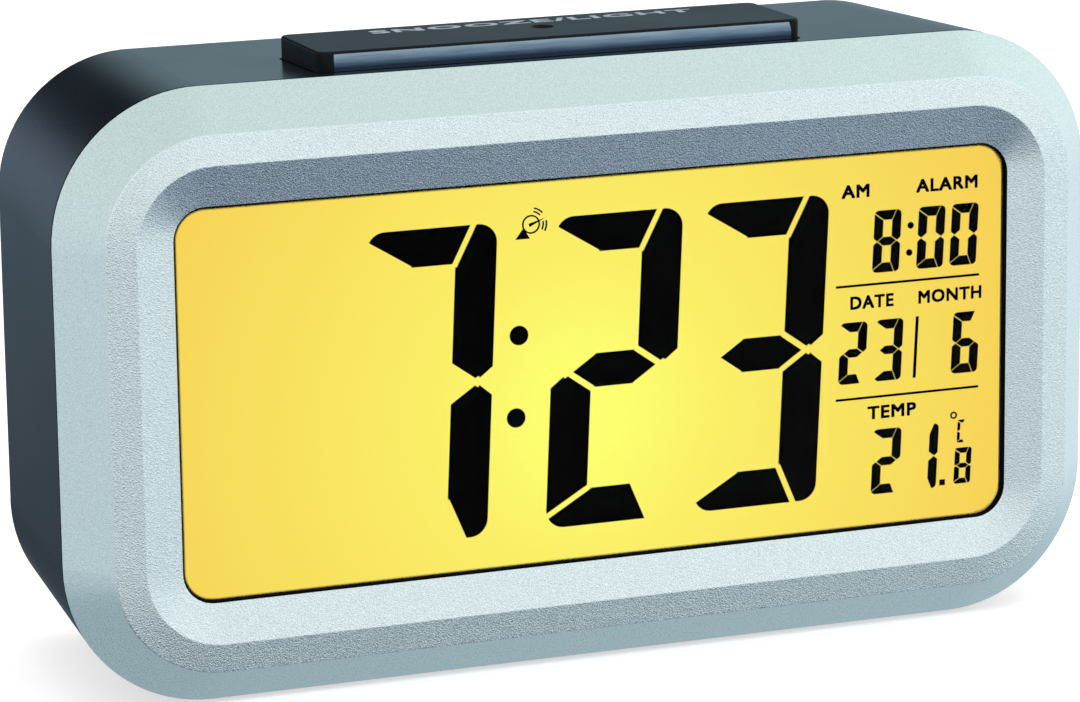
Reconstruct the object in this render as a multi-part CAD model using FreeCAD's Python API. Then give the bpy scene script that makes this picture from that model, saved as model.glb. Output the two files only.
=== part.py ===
import FreeCAD, Part
import math
import os

# Desk alarm clock with a large liquid-crystal display, a silver front frame, a dark
# rear housing and a long press bar on top.
#
# The clock is worked out about its parting line: x runs across the clock to the
# viewer's right, y runs from the front to the rear with y = 0 where the front frame
# meets the rear housing, and z runs up with z = 0 at mid-height.  When a piece is
# saved it moves to the frame of the finished part, whose origin is the middle of the
# footprint, on the surface that the feet stand on.  All sizes are in millimetres.

# ---------------------------------------------------------------- outer case
CASE_WIDTH = 135.0
CASE_HEIGHT = 75.0
CASE_DEPTH = 37.0             # parting line to rear face
CORNER_RADIUS = 18.25         # corners of the front outline
SIDE_DRAFT = 3.1              # each side draws in by this much over the depth
TOP_DRAFT = 0.85              # top and bottom draw in by this much over the depth
REAR_CORNER_RADIUS = 17.0
CASE_WALL = 2.0
JOINT_BEVEL = 0.25            # bevel that makes the dark line at the parting line
REAR_EDGE_RADIUS = 1.6
SMALL_ROUND = 0.3             # radius on small rims
TOUCH = 0.01                  # faces closer than this count as one

# ---------------------------------------------------------------- front frame
RIDGE_INSET = 4.9             # from the outline to the first ridge
RIDGE_RISE = 5.75             # how far the first ridge stands before the parting line
CREST_INSET = 8.5
CREST_RISE = 6.3
LIP_INSET_SIDE = 13.25        # from the outline to the window, left and right
LIP_INSET_TOP = 13.45         # from the outline to the window, top and bottom
LIP_RISE = 5.3
WINDOW_RADIUS = 4.0
RIDGE_ROUND = 0.35            # radius on the ridge and the crest
LIP_EDGE = 0.5                # thickness of the frame at the window's edge
TONGUE_LENGTH = 2.0           # the frame's tongue reaches this far into the housing
TONGUE_WALL = 1.0
TONGUE_CLEARANCE = 0.15

# ---------------------------------------------------------------- display stack
LENS_THICKNESS = 1.2
LENS_OVERLAP = 1.5            # how far the lens hides behind the frame's lip
LENS_CLEARANCE = 0.15
GASKET_THICKNESS = 0.8
GASKET_SETBACK = 0.4          # the gasket's opening is this much wider than the window
FILM_THICKNESS = 0.2          # one polarising film
GLASS_THICKNESS = 0.7         # one glass plate of the cell
GLASS_OVERLAP = 1.35          # glass beyond the window, left, right and top
CELL_GAP = 0.1                # space between the plates, where the segments lie
CONTACT_LEDGE = 3.0           # the front plate hangs below the rear plate by this much
SEAL_WIDTH = 0.7
GUIDE_THICKNESS = 3.0
GUIDE_OVERLAP = 0.45          # light guide beyond the window, left and right
REFLECTOR_THICKNESS = 0.3
STRIP_THICKNESS = 0.3         # flexible board that carries the backlight's diodes
STRIP_WIDTH = 2.4
STRIP_LENGTH = 44.0
DIODE_HEIGHT = 0.6
DIODE_LENGTH = 2.8
DIODE_WIDTH = 1.2
DIODE_COUNT = 3               # on each side of the light guide
DIODE_PITCH = 14.0

# ---------------------------------------------------------------- figures shown
SLANT = 0.05                  # figures lean to the right by this slope
TIP_SHARE = 0.42              # tips of the middle bar, as a share of the side bars
TIP_NOTCH_SHARE = 0.45        # half height of the notches at those tips, the same way
MITRE_TOP_SHARE = 0.52        # where a corner cut leaves the top edge, the same way
MITRE_SIDE_SHARE = 0.22       # where it leaves the side edge, as a share of the top bar
SIDE_COLUMN_MARGIN = 2.44     # window edge to the right edge of the side figures
TIME_WIDTH = 16.6
TIME_HEIGHT = 38.8
TIME_SIDE_BAR = 5.25
TIME_TOP_BAR = 4.6
TIME_MIDDLE_BAR = 4.2
TIME_GAP = 0.75
TIME_CORNER = 2.3
TIME_PITCH = 19.64
TIME_COLON_SPACE = 24.29      # from the hour figure to the minute figure
TIME_RIGHT_MARGIN = 24.93     # window edge to the right foot of the last large figure
TIME_BASE = -20.24            # foot of the large figures, from mid-height
COLON_RADIUS = 1.2
COLON_SPREAD = 10.25          # between the two dots
COLON_HEIGHT = 19.5           # middle of the two dots above the foot of the figures
COLON_FROM_HOUR = 19.89       # from the hour figure's left foot

SIDE_WIDTH = 3.65
SIDE_HEIGHT = 7.85
SIDE_BAR = 1.2
SIDE_MIDDLE_BAR = 1.06
SIDE_GAP = 0.11
SIDE_CORNER = 0.6
ALARM_BASE = 8.07
ALARM_PITCH = 4.6
ALARM_COLON_SPACE = 6.07
ALARM_DOT_RADIUS = 0.42
ALARM_DOT_SPREAD = 3.45
ALARM_DOT_FROM_HOUR = 5.0
DATE_BASE = -5.86
DATE_PITCH = 4.95
MONTH_SHIFT = 0.3             # the month figure right of the last alarm figure
DATE_TO_MONTH = 10.64         # left foot of the second date figure to the month figure
DATE_BAR_FROM_MONTH = 5.27
DATE_BAR_WIDTH = 0.38
TEMPERATURE_BASE = -20.45
TEMPERATURE_HEIGHT = 8.35
TEMPERATURE_WIDTH = 3.85
TEMPERATURE_PITCH = 5.2
TENTHS_WIDTH = 2.3
TENTHS_HEIGHT = 4.65
TENTHS_BAR = 0.68
TENTHS_MIDDLE_BAR = 0.6
TENTHS_CORNER = 0.34
TENTHS_RISE = 0.2             # foot of the tenths above the foot of the degrees
TENTHS_MARGIN = 0.93          # the tenths stop this much before the other side figures
POINT_SIZE = 0.75
POINT_GAP = 0.55
POINT_FROM_TENTHS = 1.96
UNIT_WIDTH = 1.2
UNIT_HEIGHT = 2.95
UNIT_BAR = 0.36
UNIT_RISE = 5.35              # foot of the unit letter above the foot of the tenths
UNIT_SHIFT = 0.43
DEGREE_RADIUS = 0.47
DEGREE_GAP = 0.2
DEGREE_LINE = 0.2
RULE_LENGTH = 19.75
RULE_WIDTH = 0.29
RULE_TOP = 6.65
RULE_LOWER = -7.83
DISH_RADIUS = 1.16
DISH_LINE = 0.19
DISH_HEIGHT = 18.0            # centre of the radio sign, from mid-height
DISH_FROM_COLON = 2.97        # right of the colon
WAVE_STEP = 0.42
WAVE_SPANS = ((-28, 10), (42, 78))   # degrees from level, right-hand and upper waves

# ---------------------------------------------------------------- tray and main board
TRAY_CLEARANCE = 0.2
TRAY_WALL = 1.0
TRAY_CORNER = 2.5
TRAY_FLOOR = 1.5
TRAY_TAB_WIDTH = 7.0
TRAY_TAB_THICKNESS = 1.6
TRAY_TAB_REACH = 2.0          # tab beyond the axis of its screw
TRAY_SCREW_X = 40.0           # screws along the top of the tray
TRAY_SIDE_SCREW_Z = -3.0      # screws at the ends of the tray
ZEBRA_THICKNESS = 1.8
ZEBRA_LENGTH = 96.0
ZEBRA_SETBACK = 0.6           # from the edge of the rear plate
POST_RADIUS = 2.2
POST_HEIGHT = 3.0
POST_HOLE_FLOOR = 0.2         # floor left under the screw holes of the posts
BOARD_THICKNESS = 1.6
MAIN_BOARD_WIDTH = 100.0
MAIN_BOARD_TOP = 25.0
BOARD_HOLE_INSET = 4.0
BOARD_EDGE = 1.0              # board beyond a boss or a contact strip

# ---------------------------------------------------------------- screws
SCREW_RADIUS = 1.1
SCREW_HOLE_SLACK = 0.06
SCREW_PASS_SLACK = 0.35
SCREW_HEAD_RADIUS = 2.1
SCREW_HEAD_HEIGHT = 1.5
SCREW_HEAD_ROUND = 0.6
SCREW_HEAD_CLEARANCE = 0.6
SCREW_LENGTH = 5.0
CASE_SCREW_LENGTH = 10.0
CASE_SCREW_GRIP = 5.0         # length of the case screw inside the housing's boss
CASE_BOSS_RADIUS = 2.6        # boss of the front frame that takes a case screw
REAR_BOSS_RADIUS = 3.6        # boss of the housing that the screw passes through
CASE_BOSS_INSET = 8.0         # from the side of the front outline
CASE_BOSS_Z = 15.0
BOSS_JOINT_Y = 5.0            # where the front and rear bosses meet
BOSS_JOINT_GAP = 0.1
FRONT_BOSS_RADIUS = 2.3
COUNTERBORE_SLACK = 0.4

# ---------------------------------------------------------------- press bar
BAR_LENGTH = 63.0
BAR_DEPTH = 15.4
BAR_CENTRE_X = -1.8
BAR_FRONT_Y = 2.7             # front face of the bar behind the parting line
BAR_RISE = 2.45               # how far the bar stands above the front outline
BAR_CORNER = 1.4
BAR_TOP_ROUND = 0.3
BAR_WALL = 1.5
BAR_TOP_WALL = 1.8
BAR_SKIRT = 3.4               # depth of the skirt below the top of the case
BAR_TRAVEL = 0.8
BAR_CLEARANCE = 0.3
BAR_TAB_LENGTH = 1.3
BAR_TAB_THICKNESS = 1.1
BAR_TAB_WIDTH = 8.0
BAR_STOP_GAP = 0.1            # between the tabs and the wall above them, at rest
STRIP_INSET_LEFT = 2.0        # left end of the bar to the front strip
STRIP_INSET_RIGHT = 1.4       # right end of the bar to the front strip
STRIP_TOP_EDGE = 0.28         # frame left above the front strip
STRIP_DEPTH = 0.7
STRIP_LIGHT_BAND = 1.15       # height of the strip's upper, sloping band
STRIP_SLOPE_BACK = 0.35
STRIP_SETBACK = 0.02          # lower band behind the bar's front face
STRIP_HIDDEN = 1.0            # strip below the top of the case
STRIP_SEAT_CLEARANCE = 0.03
SENSOR_HOLE_RADIUS = 1.1
SENSOR_DISH_RADIUS = 1.5
SENSOR_DISH_DEPTH = 0.45
SPRING_RADIUS = 2.2
SPRING_WIRE = 0.5
SPRING_TURNS = 4
SPRING_STEPS = 16             # sections of the wire in one turn
SPRING_FROM_CENTRE = 20.0
SPRING_PEG_RADIUS = 1.5
SPRING_PEG_LENGTH = 2.0
SPRING_END_GAP = 0.05
SNOOZE_BOARD_DROP = 4.6       # underside of the top wall to the small board
SNOOZE_BOARD_DEPTH = 9.5
SNOOZE_BOARD_SETBACK = 3.4    # front face of the bar to the board's front edge
SNOOZE_BOSS_CLEARANCE = 0.8
SNOOZE_SWITCH_X = 10.0        # from the bar's centre
SENSOR_RADIUS = 1.5
SENSOR_HEIGHT = 4.0

# ---------------------------------------------------------------- tactile switches
SWITCH_SIZE = 6.0
SWITCH_HEIGHT = 3.5
PLUNGER_RADIUS = 1.7
PLUNGER_PROUD = 0.9
PLUNGER_DEPTH = 1.2           # how deep the plunger sits in its switch
PLUNGER_CLEARANCE = 0.05

# ---------------------------------------------------------------- rear keys
KEY_COUNT = 4
KEY_PITCH = 14.0
KEY_WIDTH = 8.0
KEY_HEIGHT = 4.6
KEY_CORNER = 1.4
KEY_ROW_Z = 16.5
KEY_ROW_X = -5.0              # middle of the row
KEY_PROUD = 0.8
KEY_ROUND = 0.32
KEY_CLEARANCE = 0.2
KEY_FLANGE = 0.8              # the flange is wider than the cap by this much all round
KEY_FLANGE_THICKNESS = 0.9
KEY_STOP_GAP = 0.08
KEY_STEM_RADIUS = 1.6
KEY_STEM_LENGTH = 0.6
KEY_TRAVEL = 0.5
KEY_BOARD_HEIGHT = 13.0
KEY_BOARD_MARGIN = 11.0
KEY_BOARD_HOLE_INSET = 3.0

# ---------------------------------------------------------------- slide switch
SLIDE_X = 40.0
SLIDE_KNOB_WIDTH = 3.2
SLIDE_KNOB_HEIGHT = 2.6
SLIDE_TRAVEL = 2.5
SLIDE_SLOT_CLEARANCE = 0.25
SLIDE_RECESS_DEPTH = 0.8
SLIDE_RECESS_MARGIN = 1.2
SLIDE_BODY_WIDTH = 9.0
SLIDE_BODY_HEIGHT = 4.6
SLIDE_BODY_DEPTH = 3.4
SLIDE_FOOT_DEPTH = 1.2

# ---------------------------------------------------------------- speaker
SPEAKER_SHIFT = 1.0           # from the middle of its bay towards the battery box
SPEAKER_Z = -5.0
SPEAKER_RADIUS = 11.5
SPEAKER_RIM = 1.6
SPEAKER_HEIGHT = 4.0
SPEAKER_SHELL = 0.7
SPEAKER_MAGNET_RADIUS = 6.0
SPEAKER_MAGNET_HEIGHT = 2.6
SPEAKER_CLEARANCE = 0.2
SPEAKER_FENCE = 1.2
SPEAKER_SLOT_WIDTH = 1.3
SPEAKER_SLOT_PITCH = 3.0
SPEAKER_SLOT_COUNT = 5
CONE_THICKNESS = 0.25
CONE_DEPTH = 2.0
CONE_CAP_RADIUS = 3.0
CONE_SETBACK = 0.6

# ---------------------------------------------------------------- battery box
CELL_RADIUS = 5.25
CELL_LENGTH = 44.5
CELL_NUB_RADIUS = 1.9
CELL_NUB_LENGTH = 1.0
CELL_EDGE = 0.5
CELL_COUNT = 3
CELL_SPACE = 0.3
CONTACT_THICKNESS = 0.4
CONTACT_SIZE = 8.0
CONTACT_SPRING = 4.3          # length of a spring contact, with its plate
LEAF_WIDTH = 4.0
LEAF_BITE = 0.01              # the leaf runs this far into its plate
BOX_WALL = 1.4
DOOR_LEDGE = 1.3              # ledge that the door rests on
DOOR_CLEARANCE = 0.25
DOOR_BOTTOM_Z = -31.0
DOOR_CORNER = 2.0
DOOR_TAB_WIDTH = 8.0
DOOR_TAB_THICKNESS = 1.0
DOOR_TAB_DROP = 1.6
DOOR_TAB_X = 14.0
DOOR_NOTCH_RADIUS = 5.0
DOOR_NOTCH_DEPTH = 0.8

# ---------------------------------------------------------------- radio receiver
ROD_RADIUS = 4.0
ROD_LENGTH = 70.0
ROD_DROP = 3.3                # top wall to the rod
ROD_Y = 22.0
ROD_CLEARANCE = 0.1
ROD_RIB_THICKNESS = 2.0
ROD_RIB_X = 30.0
ROD_RIB_WALL = 1.3
COIL_THICKNESS = 1.4
COIL_LENGTH = 18.0
RADIO_BOARD_WIDTH = 22.0
RADIO_BOARD_HEIGHT = 14.0
RADIO_BOARD_THICKNESS = 1.0
HEADER_HEIGHT = 2.5
RADIO_EDGE = 1.0
RADIO_FROM_CRYSTAL = 6.0

# ---------------------------------------------------------------- main board parts
BLOB_RADIUS = 7.0
BLOB_HEIGHT = 1.6
BLOB_ROUND = 1.3
CRYSTAL_RADIUS = 1.0
CRYSTAL_LENGTH = 6.0
CRYSTAL_FROM_BLOB = 4.0
CAPACITOR_RADIUS = 3.15
CAPACITOR_HEIGHT = 6.0
CAPACITOR_PITCH = 9.0
CAPACITOR_COUNT = 2
CAPACITOR_Z = -4.0

# ---------------------------------------------------------------- wires and feet
WIRE_RADIUS = 0.5
WIRE_PITCH = 1.6
WIRE_RISE = 2.5               # a wire's two ends differ in height by this much
WIRE_BEND_SHARE = 0.45        # share of the shorter run that a bend takes up
CABLE_CORES = 4
FOOT_RADIUS = 4.5
FOOT_PROUD = 0.6              # feet below the front frame's lowest edge
FOOT_RECESS = 0.5
FOOT_INSET_X = 26.0
FOOT_FRONT_Y = 7.0
FOOT_REAR_INSET = 7.0
FOOT_CLEARANCE = 0.1

# ---------------------------------------------------------------- worked-out places
WINDOW_WIDTH = CASE_WIDTH - 2 * LIP_INSET_SIDE
WINDOW_HEIGHT = CASE_HEIGHT - 2 * LIP_INSET_TOP
REAR_WIDTH = CASE_WIDTH - 2 * SIDE_DRAFT
REAR_HEIGHT = CASE_HEIGHT - 2 * TOP_DRAFT
REAR_INNER_Y = CASE_DEPTH - CASE_WALL
TONGUE_INSET_SIDE = CASE_WALL + SIDE_DRAFT * TONGUE_LENGTH / CASE_DEPTH + TONGUE_CLEARANCE
TONGUE_INSET_TOP = CASE_WALL + TOP_DRAFT * TONGUE_LENGTH / CASE_DEPTH + TONGUE_CLEARANCE

LENS_Y = -LIP_RISE + LIP_EDGE
PLATE_Y = LENS_Y + LENS_THICKNESS
FRONT_FILM_Y = PLATE_Y + GASKET_THICKNESS
FRONT_GLASS_Y = FRONT_FILM_Y + FILM_THICKNESS
CELL_Y = FRONT_GLASS_Y + GLASS_THICKNESS
REAR_GLASS_Y = CELL_Y + CELL_GAP
REAR_FILM_Y = REAR_GLASS_Y + GLASS_THICKNESS
GUIDE_Y = REAR_FILM_Y + FILM_THICKNESS
REFLECTOR_Y = GUIDE_Y + GUIDE_THICKNESS
TRAY_Y = REFLECTOR_Y + REFLECTOR_THICKNESS
TRAY_REAR_Y = TRAY_Y + TRAY_FLOOR
MAIN_BOARD_Y = TRAY_REAR_Y + POST_HEIGHT
MAIN_BOARD_REAR_Y = MAIN_BOARD_Y + BOARD_THICKNESS

GLASS_RIGHT = WINDOW_WIDTH / 2 + GLASS_OVERLAP
GLASS_TOP = WINDOW_HEIGHT / 2 + GLASS_OVERLAP
GLASS_BOTTOM = -WINDOW_HEIGHT / 2 - GLASS_OVERLAP
LEDGE_BOTTOM = GLASS_BOTTOM - CONTACT_LEDGE
ZEBRA_TOP = GLASS_BOTTOM - ZEBRA_SETBACK
TRAY_RIGHT = GLASS_RIGHT + TRAY_CLEARANCE + TRAY_WALL
TRAY_TOP = GLASS_TOP + TRAY_CLEARANCE + TRAY_WALL
TRAY_BOTTOM = LEDGE_BOTTOM - TRAY_CLEARANCE - TRAY_WALL
TRAY_TAB_Y = TRAY_REAR_Y - TRAY_TAB_THICKNESS
TRAY_SCREW_Z = TRAY_TOP + SCREW_HEAD_RADIUS + SCREW_HEAD_CLEARANCE
TRAY_SIDE_SCREW_X = TRAY_RIGHT + SCREW_HEAD_RADIUS + SCREW_HEAD_CLEARANCE
MAIN_BOARD_BOTTOM = ZEBRA_TOP - ZEBRA_THICKNESS - BOARD_EDGE

CASE_BOSS_X = CASE_WIDTH / 2 - CASE_BOSS_INSET
HEAD_SEAT_Y = BOSS_JOINT_Y + BOSS_JOINT_GAP + CASE_SCREW_GRIP

TOP_Z = CASE_HEIGHT / 2
BAR_TOP_Z = TOP_Z + BAR_RISE
BAR_REAR_Y = BAR_FRONT_Y + BAR_DEPTH
BAR_CENTRE_Y = BAR_FRONT_Y + BAR_DEPTH / 2
TOP_WALL_Z = TOP_Z - TOP_DRAFT * BAR_REAR_Y / CASE_DEPTH - CASE_WALL
BAR_BOTTOM_Z = TOP_WALL_Z - BAR_SKIRT + CASE_WALL
BAR_WELL_Z = BAR_BOTTOM_Z - BAR_TRAVEL - BAR_CLEARANCE
SNOOZE_BOARD_Z = TOP_WALL_Z - SNOOZE_BOARD_DROP
SNOOZE_BOSS_OUT = BAR_LENGTH / 2 + BAR_TAB_LENGTH + SNOOZE_BOSS_CLEARANCE + POST_RADIUS

KEY_FLANGE_Y = REAR_INNER_Y - KEY_STOP_GAP - KEY_FLANGE_THICKNESS
PLUNGER_TIP_Y = KEY_FLANGE_Y - KEY_STEM_LENGTH
KEY_SWITCH_Y = PLUNGER_TIP_Y - PLUNGER_PROUD - SWITCH_HEIGHT
KEY_BOARD_Y = KEY_SWITCH_Y - BOARD_THICKNESS
KEY_ROW_HALF = (KEY_COUNT - 1) * KEY_PITCH / 2
KEY_BOARD_LEFT = KEY_ROW_X - KEY_ROW_HALF - KEY_BOARD_MARGIN
KEY_BOARD_RIGHT = SLIDE_X + KEY_BOARD_MARGIN

BOX_INNER_LENGTH = CELL_LENGTH + CONTACT_THICKNESS + CONTACT_SPRING
BOX_INNER_HEIGHT = CELL_COUNT * 2 * CELL_RADIUS + (CELL_COUNT + 1) * CELL_SPACE
DOOR_WIDTH = BOX_INNER_LENGTH + 2 * DOOR_LEDGE
DOOR_HEIGHT = BOX_INNER_HEIGHT + 2 * DOOR_LEDGE
DOOR_CENTRE_Z = DOOR_BOTTOM_Z + DOOR_HEIGHT / 2
CELL_Y_AXIS = REAR_INNER_Y - CELL_SPACE - CELL_RADIUS
BOX_FLOOR_Y = CELL_Y_AXIS - CELL_RADIUS - CELL_SPACE
CELL_STEP = 2 * CELL_RADIUS + CELL_SPACE
SPEAKER_BAY_LEFT = CASE_WALL - REAR_WIDTH / 2
SPEAKER_BAY_RIGHT = -BOX_INNER_LENGTH / 2 - BOX_WALL
SPEAKER_X = (SPEAKER_BAY_LEFT + SPEAKER_BAY_RIGHT) / 2 + SPEAKER_SHIFT

ROD_Z = TOP_Z - TOP_DRAFT * ROD_Y / CASE_DEPTH - CASE_WALL - ROD_DROP - ROD_RADIUS
FLOOR_Z = -CASE_HEIGHT / 2 - FOOT_PROUD
REAR_Y = CASE_DEPTH + KEY_PROUD
FRONT_Y = -CREST_RISE
ORIGIN = FreeCAD.Vector(0, (FRONT_Y + REAR_Y) / 2, FLOOR_Z)


# ---------------------------------------------------------------- shape helpers
def vec(x, y, z):
    return FreeCAD.Vector(x, y, z)


def save(name, shapes):
    """Write one node: one solid, or a group of separate solids."""
    group = shapes if isinstance(shapes, list) else [shapes]
    solids = [solid for shape in group for solid in shape.Solids]
    moved = [solid.translated(-ORIGIN) for solid in solids]
    node = moved[0] if len(moved) == 1 else Part.makeCompound(moved)
    node.exportStep("parts/" + name + ".step")


def block(x0, x1, y0, y1, z0, z1):
    return Part.makeBox(x1 - x0, y1 - y0, z1 - z0, vec(x0, y0, z0))


def rod_x(x0, x1, y, z, radius):
    return Part.makeCylinder(radius, x1 - x0, vec(x0, y, z), vec(1, 0, 0))


def rod_y(x, y0, y1, z, radius):
    return Part.makeCylinder(radius, y1 - y0, vec(x, y0, z), vec(0, 1, 0))


def rod_z(x, y, z0, z1, radius):
    return Part.makeCylinder(radius, z1 - z0, vec(x, y, z0), vec(0, 0, 1))


def rounded_wire(width, height, radius, point):
    """Rounded rectangle centred on the origin of a plane; point maps (u, v) to space."""
    right = width / 2
    top = height / 2
    bend = radius * (1 - math.sqrt(0.5))
    edges = []
    for corner in range(4):
        su = 1 if corner in (0, 3) else -1
        sv = 1 if corner in (0, 1) else -1
        side = point(su * right, sv * (top - radius))
        middle = point(su * (right - bend), sv * (top - bend))
        cap = point(su * (right - radius), sv * top)
        ends = (side, middle, cap) if corner in (0, 2) else (cap, middle, side)
        edges.append(Part.Arc(*ends).toShape())
    joined = []
    for here, after in zip(edges, edges[1:] + edges[:1]):
        joined.append(here)
        joined.append(Part.makeLine(here.lastVertex().Point, after.firstVertex().Point))
    return Part.Wire(joined)


def front_wire(width, height, radius, y, x=0.0, z=0.0):
    """Rounded rectangle seen from the front, in the plane at y."""
    return rounded_wire(width, height, radius, lambda u, v: vec(x + u, y, z + v))


def front_slab(width, height, radius, y0, y1, x=0.0, z=0.0):
    """Plate with rounded corners between y0 and y1."""
    wire = front_wire(width, height, radius, y0, x, z)
    return Part.Face(wire).extrude(vec(0, y1 - y0, 0))


def top_slab(width, depth, radius, z0, z1, x, y):
    """Plate with rounded corners seen from above, between z0 and z1."""
    wire = rounded_wire(width, depth, radius, lambda u, v: vec(x + u, y + v, z0))
    return Part.Face(wire).extrude(vec(0, 0, z1 - z0))


def loft(wires):
    return Part.makeLoft(wires, True, True)


def prism_y(points, y0, y1):
    """Straight-sided prism whose outline is a list of (x, z)."""
    corners = [vec(x, y0, z) for x, z in points]
    return Part.Face(Part.makePolygon(corners + corners[:1])).extrude(vec(0, y1 - y0, 0))


def case_ring(inset_side, inset_top, y):
    """Ring of the front frame, drawn in from the front outline."""
    radius = CORNER_RADIUS - (inset_side + inset_top) / 2
    return front_wire(CASE_WIDTH - 2 * inset_side, CASE_HEIGHT - 2 * inset_top, radius, y)


def housing_ring(y, wall):
    """Ring of the rear housing at depth y, drawn in from its outside by a wall."""
    share = y / CASE_DEPTH
    width = CASE_WIDTH - 2 * SIDE_DRAFT * share - 2 * wall
    height = CASE_HEIGHT - 2 * TOP_DRAFT * share - 2 * wall
    radius = CORNER_RADIUS + (REAR_CORNER_RADIUS - CORNER_RADIUS) * share - wall
    return front_wire(width, height, radius, y)


def edges_at(shape, test):
    return [edge for edge in shape.Edges if test(edge)]


def flat_at_y(edge, y):
    return abs(edge.BoundBox.YMin - y) < TOUCH and abs(edge.BoundBox.YMax - y) < TOUCH


def screw_y(x, z, seat_y, length, way):
    """Pan-head screw along y: its head sits on seat_y, its shank runs the other way."""
    tip = seat_y - way * length
    back = seat_y + way * SCREW_HEAD_HEIGHT
    shank = rod_y(x, min(seat_y, tip), max(seat_y, tip), z, SCREW_RADIUS)
    head = rod_y(x, min(seat_y, back), max(seat_y, back), z, SCREW_HEAD_RADIUS)
    rim = edges_at(head, lambda edge: flat_at_y(edge, back))
    return head.makeFillet(SCREW_HEAD_ROUND, rim).fuse(shank).removeSplitter()


def screw_up(x, y, seat_z, length):
    """Pan-head screw driven upwards: its head sits under seat_z."""
    shank = rod_z(x, y, seat_z, seat_z + length, SCREW_RADIUS)
    head = rod_z(x, y, seat_z - SCREW_HEAD_HEIGHT, seat_z, SCREW_HEAD_RADIUS)
    return head.fuse(shank).removeSplitter()


def tray_screw_places():
    top = [(side * TRAY_SCREW_X, TRAY_SCREW_Z) for side in (-1, 1)]
    ends = [(side * TRAY_SIDE_SCREW_X, TRAY_SIDE_SCREW_Z) for side in (-1, 1)]
    return top + ends


def case_screw_places():
    return [(sx * CASE_BOSS_X, sz * CASE_BOSS_Z) for sx in (-1, 1) for sz in (-1, 1)]


def main_board_places():
    x = MAIN_BOARD_WIDTH / 2 - BOARD_HOLE_INSET
    rows = (MAIN_BOARD_TOP - BOARD_HOLE_INSET, GLASS_BOTTOM + 2 * BOARD_HOLE_INSET)
    return [(side * x, z) for side in (-1, 1) for z in rows]


def key_places():
    first = KEY_ROW_X - KEY_ROW_HALF
    return [(first + index * KEY_PITCH, KEY_ROW_Z) for index in range(KEY_COUNT)]


def key_board_places():
    left = KEY_BOARD_LEFT + KEY_BOARD_HOLE_INSET
    right = KEY_BOARD_RIGHT - KEY_BOARD_HOLE_INSET
    return [(left, KEY_ROW_Z), (right, KEY_ROW_Z)]


def snooze_board_places():
    return [(BAR_CENTRE_X + side * SNOOZE_BOSS_OUT, BAR_CENTRE_Y) for side in (-1, 1)]


def foot_places():
    x = CASE_WIDTH / 2 - FOOT_INSET_X
    rows = (FOOT_FRONT_Y, CASE_DEPTH - FOOT_REAR_INSET)
    return [(side * x, y) for side in (-1, 1) for y in rows]


# ---------------------------------------------------------------- front frame and lens
def front_frame():
    """Silver frame: two bands rise to the crest, a third falls back to the window."""
    outside = case_ring(0.0, 0.0, 0.0)
    ridge = case_ring(RIDGE_INSET, RIDGE_INSET, -RIDGE_RISE)
    crest = case_ring(CREST_INSET, CREST_INSET, -CREST_RISE)
    body = loft([outside, ridge, crest])
    window = (WINDOW_WIDTH, WINDOW_HEIGHT, WINDOW_RADIUS)
    body = body.cut(loft([case_ring(CREST_INSET, CREST_INSET, -CREST_RISE), front_wire(*window, -LIP_RISE)]))
    body = body.cut(front_slab(*window, -CREST_RISE, 0.0))
    side = TONGUE_INSET_SIDE + TONGUE_WALL
    top = TONGUE_INSET_TOP + TONGUE_WALL
    slope = -PLATE_Y * RIDGE_INSET / RIDGE_RISE
    body = body.cut(loft([case_ring(side, top, 0.0), case_ring(side + slope, top + slope, PLATE_Y)]))
    rims = edges_at(body, lambda edge: flat_at_y(edge, -RIDGE_RISE) or flat_at_y(edge, -CREST_RISE))
    body = body.makeFillet(RIDGE_ROUND, rims)
    pocket = LENS_OVERLAP + LENS_CLEARANCE
    body = body.cut(front_slab(WINDOW_WIDTH + 2 * pocket, WINDOW_HEIGHT + 2 * pocket,
                               WINDOW_RADIUS + pocket, LENS_Y, 0.0))
    tongue = Part.Face(case_ring(TONGUE_INSET_SIDE, TONGUE_INSET_TOP, 0.0)).extrude(vec(0, TONGUE_LENGTH, 0))
    tongue = tongue.cut(Part.Face(case_ring(side, top, 0.0)).extrude(vec(0, TONGUE_LENGTH, 0)))
    body = body.fuse(tongue)
    shell = loft([outside, ridge]).fuse(front_slab(CASE_WIDTH, CASE_HEIGHT, CORNER_RADIUS, 0.0, CASE_DEPTH))
    holes = []
    for x, z in tray_screw_places():
        boss = rod_y(x, PLATE_Y - LENS_THICKNESS, TRAY_TAB_Y, z, FRONT_BOSS_RADIUS)
        body = body.fuse(boss.common(shell))
        holes.append(rod_y(x, PLATE_Y, TRAY_TAB_Y, z, SCREW_RADIUS + SCREW_HOLE_SLACK))
    for x, z in case_screw_places():
        boss = rod_y(x, PLATE_Y - LENS_THICKNESS, BOSS_JOINT_Y, z, CASE_BOSS_RADIUS)
        trimmed = boss.common(Part.Face(case_ring(TONGUE_INSET_SIDE, TONGUE_INSET_TOP, -LIP_RISE)).extrude(
            vec(0, LIP_RISE + BOSS_JOINT_Y, 0))).common(shell)
        body = body.fuse(trimmed)
        holes.append(rod_y(x, PLATE_Y, BOSS_JOINT_Y, z, SCREW_RADIUS + SCREW_HOLE_SLACK))
    for hole in holes:
        body = body.cut(hole)
    save("front_frame", body.removeSplitter())


def display_lens():
    """Clear cover, held between the frame's lip and the gasket."""
    save("display_lens", front_slab(WINDOW_WIDTH + 2 * LENS_OVERLAP, WINDOW_HEIGHT + 2 * LENS_OVERLAP,
                                    WINDOW_RADIUS + LENS_OVERLAP, LENS_Y, PLATE_Y))


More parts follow.
